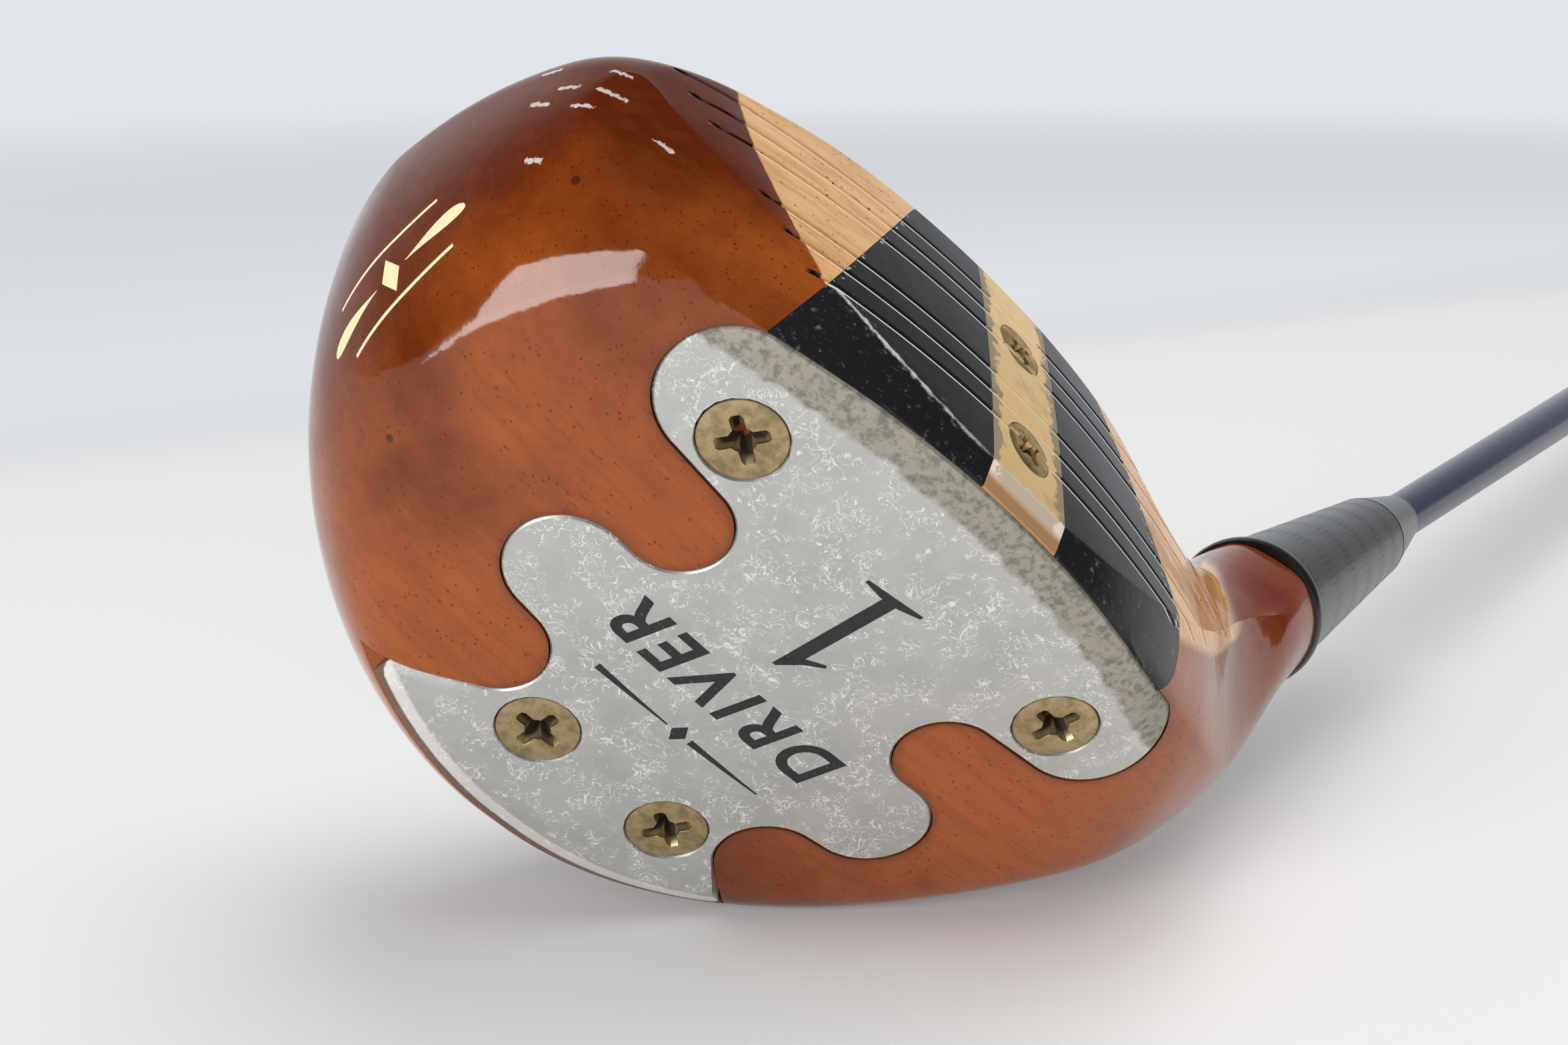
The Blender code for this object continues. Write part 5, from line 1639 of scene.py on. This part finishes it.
class DRIVER_OT_marks(bpy.types.Operator):
    """Number and generic word on the plate, plain ornament on the toe"""

    bl_idname = "driver.marks"
    bl_label = "Marks"

    def execute(self, context):
        height, tree = sole_surface()

        def on_plate(u0, v0, turn):
            c, s = math.cos(turn), math.sin(turn)

            def lay(u, v, level):
                a = u + v * NUMERAL_LEAN
                x, y = u0 - (a * c - v * s), v0 + (a * s + v * c)
                return x, y, height(x, y) - PRINT_PROUD + level * PRINT_T

            return lay

        black = paint_material("black_print", PRINT_BLACK)
        shapes = (NUMERAL_STEM, NUMERAL_FOOT, NUMERAL_FLAG)
        number = link("number", marking_mesh("number", shapes, on_plate(*NUMERAL_AT, NUMERAL_TURN), 1.2))
        settle(number, black, "black_insert")
        word = self.word(height)
        settle(word, black, "black_insert")
        cream = paint_material("cream_print", PRINT_CREAM)

        def on_toe(u, v, level):
            place = ORNAMENT_FROM + ORNAMENT_RUN * (u / ORNAMENT_L) + ORNAMENT_UP * v
            hit, normal, _, _ = tree.ray_cast(place, Vector((1.0, 0.0, 0.0)))
            return tuple(hit + normal * (0.02 - 0.06 * level))

        lines = []
        for v, width in ORNAMENT_LINES:
            lines.append([(5.0, v - width), (21.5, v - width), (21.5, v + width), (5.0, v + width)])
        petal = [(math.sin(t), math.cos(t)) for t in np.linspace(0.0, math.pi, 12)]
        for sign in (-1.0, 1.0):
            upper = [(13.3 + sign * (2.3 + 9.0 * (1.0 - c) / 2.0), 1.25 * s * (1.0 - c) * 0.5 + 0.05)
                     for s, c in petal]
            lower = [(u, -v * 0.6) for u, v in upper]
            ring = upper + lower[-2:0:-1]
            lines.append(ring[::-1] if sign > 0.0 else ring)
        lines.append([(11.9, 0.0), (13.3, -1.9), (14.7, 0.0), (13.3, 1.9)])
        ornament = link("toe_ornament", marking_mesh("toe_ornament", lines, on_toe, 0.7))
        settle(ornament, cream, "lacquered_wood")
        return {"FINISHED"}

    def word(self, height):
        """The word for this kind of club, with a plain rule behind it."""
        size = settings("plate").letter_height / MM
        text = bpy.data.curves.new("word", "FONT")
        text.body = "DRIVER"
        text.size = size * 1.38
        text.extrude = 0.02
        text.offset = 0.2
        text.shear = 0.22
        text.space_character = 1.22
        text.align_x = "CENTER"
        flat = link("flat_word", text)
        mesh = evaluated_mesh(flat)
        bpy.data.objects.remove(flat)
        for vertex in mesh.vertices:
            u, v, w = vertex.co
            x, y = WORD_AT[0] - u, WORD_AT[1] + v
            vertex.co = (x, y, height(x, y) - PRINT_PROUD + (PRINT_T if w < 0.0 else 0.0))
        rule = []
        for u0, u1 in ((-13.0, -1.8), (1.8, 13.0)):
            rule.append([(u0, -0.1), (u1, -0.45), (u1, 0.45), (u0, 0.1)])
        rule.append([(-1.1, 0.0), (0.0, -1.5), (1.1, 0.0), (0.0, 1.5)])

        def behind(u, v, level):
            x, y = RULE_AT[0] - u, RULE_AT[1] + v
            return x, y, height(x, y) - PRINT_PROUD + level * PRINT_T

        return link("word", joined("word", [mesh, marking_mesh("rule", rule, behind, 1.0)]))


def neck_radius(distance):
    """Radius of the thinned neck under the whipping."""
    share = (distance - RIM_AT) / (NECK_TOP - RIM_AT)
    return NECK_R - WHIP_T + (NECK_TOP_R - NECK_R + WHIP_T) * share


def shaft_radius(distance):
    """Outside radius of the shaft: parallel in the neck, then an even taper to the butt."""
    run = (distance - TAPER_FROM) / (CLUB_LENGTH - TAPER_FROM)
    return (SHAFT_TIP_D + (SHAFT_BUTT_D - SHAFT_TIP_D) * max(run, 0.0)) / 2.0


class DRIVER_OT_neck(bpy.types.Operator):
    """Band, wound thread and ferrule on the neck"""

    bl_idname = "driver.neck"
    bl_label = "Neck"

    def execute(self, context):
        own = settings("neck")
        black = thread_material()
        place = aim(AXIS_FOOT, SHAFT_DIR)
        low, high = RIM_AT + GAP, RIM_AT + BAND_L
        outer = [(NECK_R - 0.1, low), (NECK_R + 0.35, low + 0.12), (NECK_R + BAND_PROUD, low + 0.55),
                 (NECK_R + BAND_PROUD, low + 1.5), (NECK_R + 0.4, low + 2.2), (NECK_R + 0.15, high)]
        bore = [(neck_radius(d) + BORE_ROOM, d) for d in (low, high)]
        band = link("rim_band", tube("rim_band", outer, bore, place))
        settle(band, black, "black_winding", "whipping_band")
        thread_r = own.thread / MM / 2.0
        low, high = high + JOINT, NECK_TOP
        turns = (high - low) / (thread_r * THREAD_PITCH)
        lift = WHIP_T - thread_r
        base = bpy.data.meshes.new("none")
        wound = grown("whipping", base, winding_tree(), Turns=turns, Low_Radius=neck_radius(low) + lift,
                      High_Radius=neck_radius(high) + lift, Length=high - low, Thread_Radius=thread_r,
                      Sides=own.thread_sides, Material=black)
        wound.data.transform(place @ Matrix.Translation((0.0, 0.0, low)))
        bed = [(neck_radius(d) + WHIP_T - VARNISH_SUNK, d) for d in (low, high)]
        inner = [(neck_radius(d) + BORE_ROOM, d) for d in (low, high)]
        bed_mesh = tube("bed", bed, inner, place)
        whipping = link("neck_winding", joined("neck_winding", [wound.data.copy(), bed_mesh]))
        bpy.data.objects.remove(wound)
        settle(whipping, black, "black_winding", "neck_whipping", crisp=60.0)
        low = NECK_TOP + JOINT
        shaft_r = [shaft_radius(d) + BORE_ROOM for d in (low, FERRULE_TOP)]
        run = (shaft_r[1] + 0.35) - (NECK_TOP_R + WHIP_T)
        outer = [(NECK_TOP_R + WHIP_T - 0.25, low), (NECK_TOP_R + WHIP_T, low + 0.3)]
        for share in np.linspace(0.1, 0.97, 9):
            outer.append((NECK_TOP_R + WHIP_T + run * share, low + (FERRULE_TOP - low) * share))
        outer.append((shaft_r[1] + 0.12, FERRULE_TOP))
        ferrule = tube("ferrule", outer, [(shaft_r[0], low), (shaft_r[1], FERRULE_TOP)], place)
        settle(link("ferrule", ferrule), black, "black_winding", "shaft_ferrule")
        return {"FINISHED"}


class DRIVER_OT_shaft(bpy.types.Operator):
    """Painted steel shaft"""

    bl_idname = "driver.shaft"
    bl_label = "Shaft"

    def execute(self, context):
        top = CLUB_LENGTH - CAP_T - GAP
        stations = [SHAFT_TIP_AT, TAPER_FROM] + list(np.linspace(TAPER_FROM, top, 40)[1:])
        outer = [(shaft_radius(d), d) for d in stations]
        bore = [(shaft_radius(d) - SHAFT_WALL, d) for d in stations]
        shaft = link("painted_shaft", tube("painted_shaft", outer, bore, aim(AXIS_FOOT, SHAFT_DIR)))
        settle(shaft, shaft_material(), "shaft_paint", "shaft")
        return {"FINISHED"}


class DRIVER_OT_grip(bpy.types.Operator):
    """Moulded sleeve with raised studs, and the vented cap"""

    bl_idname = "driver.grip"
    bl_label = "Grip"

    def execute(self, context):
        own = settings("grip")
        rubber = rubber_material()
        place = aim(AXIS_FOOT, SHAFT_DIR)
        top = CLUB_LENGTH - CAP_T
        low = CLUB_LENGTH - GRIP_L

        def radius(d):
            share = (d - low - TAPER_IN) / (top - FLARE_L - low - TAPER_IN)
            body = GRIP_LOW_D / 2.0 + (GRIP_TOP_D - GRIP_LOW_D) / 2.0 * min(max(share, 0.0), 1.0)
            flare = (CAP_D - GRIP_TOP_D) / 2.0 * float(smooth((d - top + FLARE_L) / FLARE_L))
            return body + flare

        outer = [(GRIP_LOW_D / 2.0 - 1.5, low), (GRIP_LOW_D / 2.0 - 0.5, low + 0.4), (GRIP_LOW_D / 2.0, low + 2.0)]
        deep, wide = GROOVE
        for d in np.linspace(low + 3.0, top - GAP, 150):
            groove = deep * math.exp(-((d - low - GROOVE_LOW) / wide) ** 2)
            groove += deep * math.exp(-((d - top + GROOVE_TOP) / wide) ** 2)
            outer.append((radius(d) - groove, d))
        bore = [(shaft_radius(d) + 2.0 * GAP, d) for d in (low, top - GAP)]
        sleeve = tube("sleeve", outer, bore, place)
        rings = [[(-a, -b, c), (a, -b, c), (a, b, c), (-a, b, c)] for a, b, c in STUD_RINGS]
        stud = link("stud", ring_mesh("stud", rings))
        places = []
        for row, d in enumerate(np.linspace(low + STUDS_LOW, top - STUDS_TOP, own.rows)):
            for i in range(own.around):
                angle = 2.0 * math.pi * (i + 0.5 * (row % 2)) / own.around
                out = Vector((math.cos(angle), math.sin(angle), 0.0))
                side = Vector((0.0, 0.0, 1.0)).cross(out)
                turn = Matrix((Vector((0.0, 0.0, 1.0)), side, out)).transposed().to_4x4()
                places.append(place @ Matrix.Translation(out * (radius(d) - 0.02) + Vector((0, 0, d))) @ turn)
        studs = placed_copies("studs", stud, places, rubber, own.stud / MM)
        body = link("grip", joined("grip", [sleeve, studs.data.copy()]))
        bpy.data.objects.remove(studs)
        settle(body, rubber, "grip_rubber", "grip_sleeve")
        outer = [(CAP_D / 2.0 - inwards, top + up) for inwards, up in CAP_SIDE]
        outer += [(CAP_D / 2.0 - inwards, CLUB_LENGTH - down) for inwards, down in CAP_TOP]
        outer.append((VENT_R + VENT_CHAMFER, CLUB_LENGTH))
        vent = [(VENT_R, top), (VENT_R, CLUB_LENGTH - VENT_CHAMFER)]
        cap = tube("end_cap", outer, vent, place)
        settle(link("end_cap", cap), rubber, "grip_rubber", "grip_cap")
        return {"FINISHED"}


class DRIVER_OT_inner(bpy.types.Operator):
    """Finishes for the pieces inside the club, kept as they were packed"""

    bl_idname = "driver.inner"
    bl_label = "Inner pieces"

    def execute(self, context):
        lead = hidden_material("cast_lead", (0.24, 0.25, 0.26), 0.6, 0.8)
        steel = hidden_material("drawn_steel", (0.55, 0.55, 0.56), 0.32, 1.0)
        paper = hidden_material("tape_paper", (0.62, 0.56, 0.44), 0.8, 0.0)
        finishes = {"backweight_lead": lead, "tip_weight": lead, "shaft_pin": steel, "grip_tape": paper}
        for node, material in finishes.items():
            for material_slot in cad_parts[node].material_slots:
                material_slot.material = material
        return {"FINISHED"}


# ---------------------------------------------------------------- stage
CAMERA_AT = Vector((-122.56, -101.04, -177.2))   # in the club's frame, in mm
CAMERA_TURN = (math.radians(139.995), math.radians(-2.506), math.radians(-48.656))

HEAD_MIDDLE = Vector((0.0, 20.0, 15.0))
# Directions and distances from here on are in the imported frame, in m.
# Each lamp: name, direction, distance, size, power as a share of the window's, and if gloss reflects it
LAMPS = (("window", (-0.95, 0.20, 0.17), 0.8, (0.46, 0.36), 1.0, True),
         ("overhead", (0.25, -0.20, 0.95), 1.5, (2.2, 1.4), 5.2, False),
         ("low_fill", (-0.75, -0.62, 0.30), 0.9, (0.6, 0.6), 0.6, False))
SKY_COLOUR = (0.92, 0.96, 1.0)
DAYLIGHT_FROM = (0.60, 0.76, -0.22)
ROOM_FROM = 0.0
ROOM_TO = 0.80
ROOM_LEVEL = 0.04
BACKDROP = (0.755, 0.785, 0.82)
TABLE_AHEAD = (0.394, 0.919, 0.0)
TABLE_EDGE = 0.094
FLOOR_HALF = 9.0
FLOOR_WHITE = (0.82, 0.81, 0.80)
FLOOR_BEYOND = (0.80, 0.815, 0.84)
FLOOR_LEDGE_SHADE = (0.62, 0.65, 0.70)
FLOOR_FADE = (0.25, 1.3)


def camera_basis():
    """Right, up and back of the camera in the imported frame."""
    turn = Matrix.Rotation(CAMERA_TURN[2], 3, "Z") @ Matrix.Rotation(CAMERA_TURN[1], 3, "Y")
    turn = turn @ Matrix.Rotation(CAMERA_TURN[0], 3, "X")
    return lying_rotation() @ turn


class DRIVER_OT_stage(bpy.types.Operator):
    """Pale floor, window light, sky and camera"""

    bl_idname = "driver.stage"
    bl_label = "Stage"

    def execute(self, context):
        own = settings("stage")
        basis = camera_basis()
        camera = bpy.data.cameras.new("camera")
        camera.sensor_width = 36.0
        camera.lens = own.lens
        camera.clip_start = 0.005
        camera.clip_end = 50.0
        viewer = bpy.data.objects.new("camera", camera)
        context.scene.collection.objects.link(viewer)
        viewer.matrix_world = Matrix.Translation(TO_ROW @ CAMERA_AT) @ basis.to_4x4()
        context.scene.camera = viewer
        context.scene.view_settings.view_transform = "Standard"
        self.floor()
        self.sky(context, own.sky)
        head = TO_ROW @ HEAD_MIDDLE
        for name, direction, distance, size, share, in_gloss in LAMPS:
            self.panel(name, head, direction, distance, size, own.key * share).visible_glossy = in_gloss
        return {"FINISHED"}

    def floor(self):
        """White table with painted shade along its far edge, fading into the backdrop's own colour with distance.
        """
        mesh = bpy.data.meshes.new("floor")
        size = FLOOR_HALF
        mesh.from_pydata([(-size, -size, 0.0), (size, -size, 0.0), (size, size, 0.0), (-size, size, 0.0)], [],
                         [(0, 1, 2, 3)])
        m = Shader("floor_white", FLOOR_WHITE, 0.6, Specular_IOR_Level=0.0)
        place = m.node("ShaderNodeTexCoord").outputs["Object"]
        past_edge = m.math("SUBTRACT", m.vector("DOT_PRODUCT", place, TABLE_AHEAD, out=1), TABLE_EDGE)
        beyond = m.step(past_edge, -0.012, 0.05)
        # painted shade: a grey-blue band along the table's far edge, standing for the shade at that edge
        ledge_shade = m.math("MULTIPLY", m.step(past_edge, -0.03, 0.012), m.step(past_edge, 0.10, 0.02))
        near = m.mix(beyond, FLOOR_WHITE, FLOOR_BEYOND)
        near = m.mix(m.math("MULTIPLY", ledge_shade, 0.3), near, FLOOR_LEDGE_SHADE)
        gone = m.step(m.vector("LENGTH", place, out=1), *FLOOR_FADE)
        m.set("Base Color", m.mix(gone, near, (0.0, 0.0, 0.0)))
        m.set("Emission Color", (*BACKDROP, 1.0))
        m.set("Emission Strength", gone)
        mesh.materials.append(m.material)
        link("floor", mesh)

    def sky(self, context, strength):
        """Daylight from beyond the club, a dim room on the near side, and a plain backdrop."""
        world = bpy.data.worlds.new("sky")
        world.use_nodes = True
        tree = world.node_tree
        tree.nodes.clear()

        def node(kind, **values):
            made = tree.nodes.new(kind)
            for key, value in values.items():
                setattr(made, key, value)
            return made

        direction = node("ShaderNodeTexCoord").outputs["Generated"]
        along = node("ShaderNodeVectorMath", operation="DOT_PRODUCT")
        along.inputs[1].default_value = DAYLIGHT_FROM
        tree.links.new(direction, along.inputs[0])
        spread = node("ShaderNodeMapRange", interpolation_type="SMOOTHSTEP")
        for i, value in enumerate((ROOM_FROM, ROOM_TO, ROOM_LEVEL, strength), start=1):
            spread.inputs[i].default_value = value
        tree.links.new(along.outputs["Value"], spread.inputs["Value"])
        light = node("ShaderNodeBackground")
        light.inputs["Color"].default_value = (*SKY_COLOUR, 1.0)
        tree.links.new(spread.outputs["Result"], light.inputs["Strength"])
        backdrop = node("ShaderNodeBackground")
        backdrop.inputs["Color"].default_value = (*BACKDROP, 1.0)
        seen = node("ShaderNodeLightPath").outputs["Is Camera Ray"]
        mixed = node("ShaderNodeMixShader")
        end = node("ShaderNodeOutputWorld")
        tree.links.new(seen, mixed.inputs[0])
        tree.links.new(light.outputs[0], mixed.inputs[1])
        tree.links.new(backdrop.outputs[0], mixed.inputs[2])
        tree.links.new(mixed.outputs[0], end.inputs["Surface"])
        context.scene.world = world

    def panel(self, name, target, direction, distance, size, power):
        """Soft rectangular light that faces the head from a direction."""
        light = bpy.data.lights.new(name, "AREA")
        light.shape = "RECTANGLE"
        light.size, light.size_y = size
        light.energy = power
        lamp = bpy.data.objects.new(name, light)
        bpy.context.scene.collection.objects.link(lamp)
        away = Vector(direction).normalized()
        turn = away.to_track_quat("Z", "Y").to_matrix().to_4x4()
        lamp.matrix_world = Matrix.Translation(target + away * distance) @ turn
        return lamp


class DRIVER_PT_panel(bpy.types.Panel):
    """The driver's pieces, in the order they are made"""

    bl_idname = "DRIVER_PT_panel"
    bl_label = "Wooden Driver"
    bl_space_type = "VIEW_3D"
    bl_region_type = "UI"
    bl_category = "Driver"

    def draw(self, context):
        for step in STEPS:
            self.layout.operator(step.bl_idname)
        for group, kind in SETTINGS.items():
            box = self.layout.box()
            box.label(text=group.capitalize())
            for name in kind.__annotations__:
                box.prop(settings(group), name)


STEPS = (DRIVER_OT_stage, DRIVER_OT_head, DRIVER_OT_face, DRIVER_OT_sole_plate, DRIVER_OT_screws, DRIVER_OT_marks,
         DRIVER_OT_neck, DRIVER_OT_shaft, DRIVER_OT_grip, DRIVER_OT_inner)


def register():
    for group, kind in SETTINGS.items():
        bpy.utils.register_class(kind)
        setattr(bpy.types.Scene, "driver_" + group, PointerProperty(type=kind))
    for kind in STEPS:
        bpy.utils.register_class(kind)
    bpy.utils.register_class(DRIVER_PT_panel)


def unregister():
    bpy.utils.unregister_class(DRIVER_PT_panel)
    for kind in reversed(STEPS):
        bpy.utils.unregister_class(kind)
    for group, kind in SETTINGS.items():
        delattr(bpy.types.Scene, "driver_" + group)
        bpy.utils.unregister_class(kind)


def main():
    register()
    for step in STEPS:
        prefix, name = step.bl_idname.split(".")
        getattr(getattr(bpy.ops, prefix), name)()


if __name__ == "__main__":
    main()
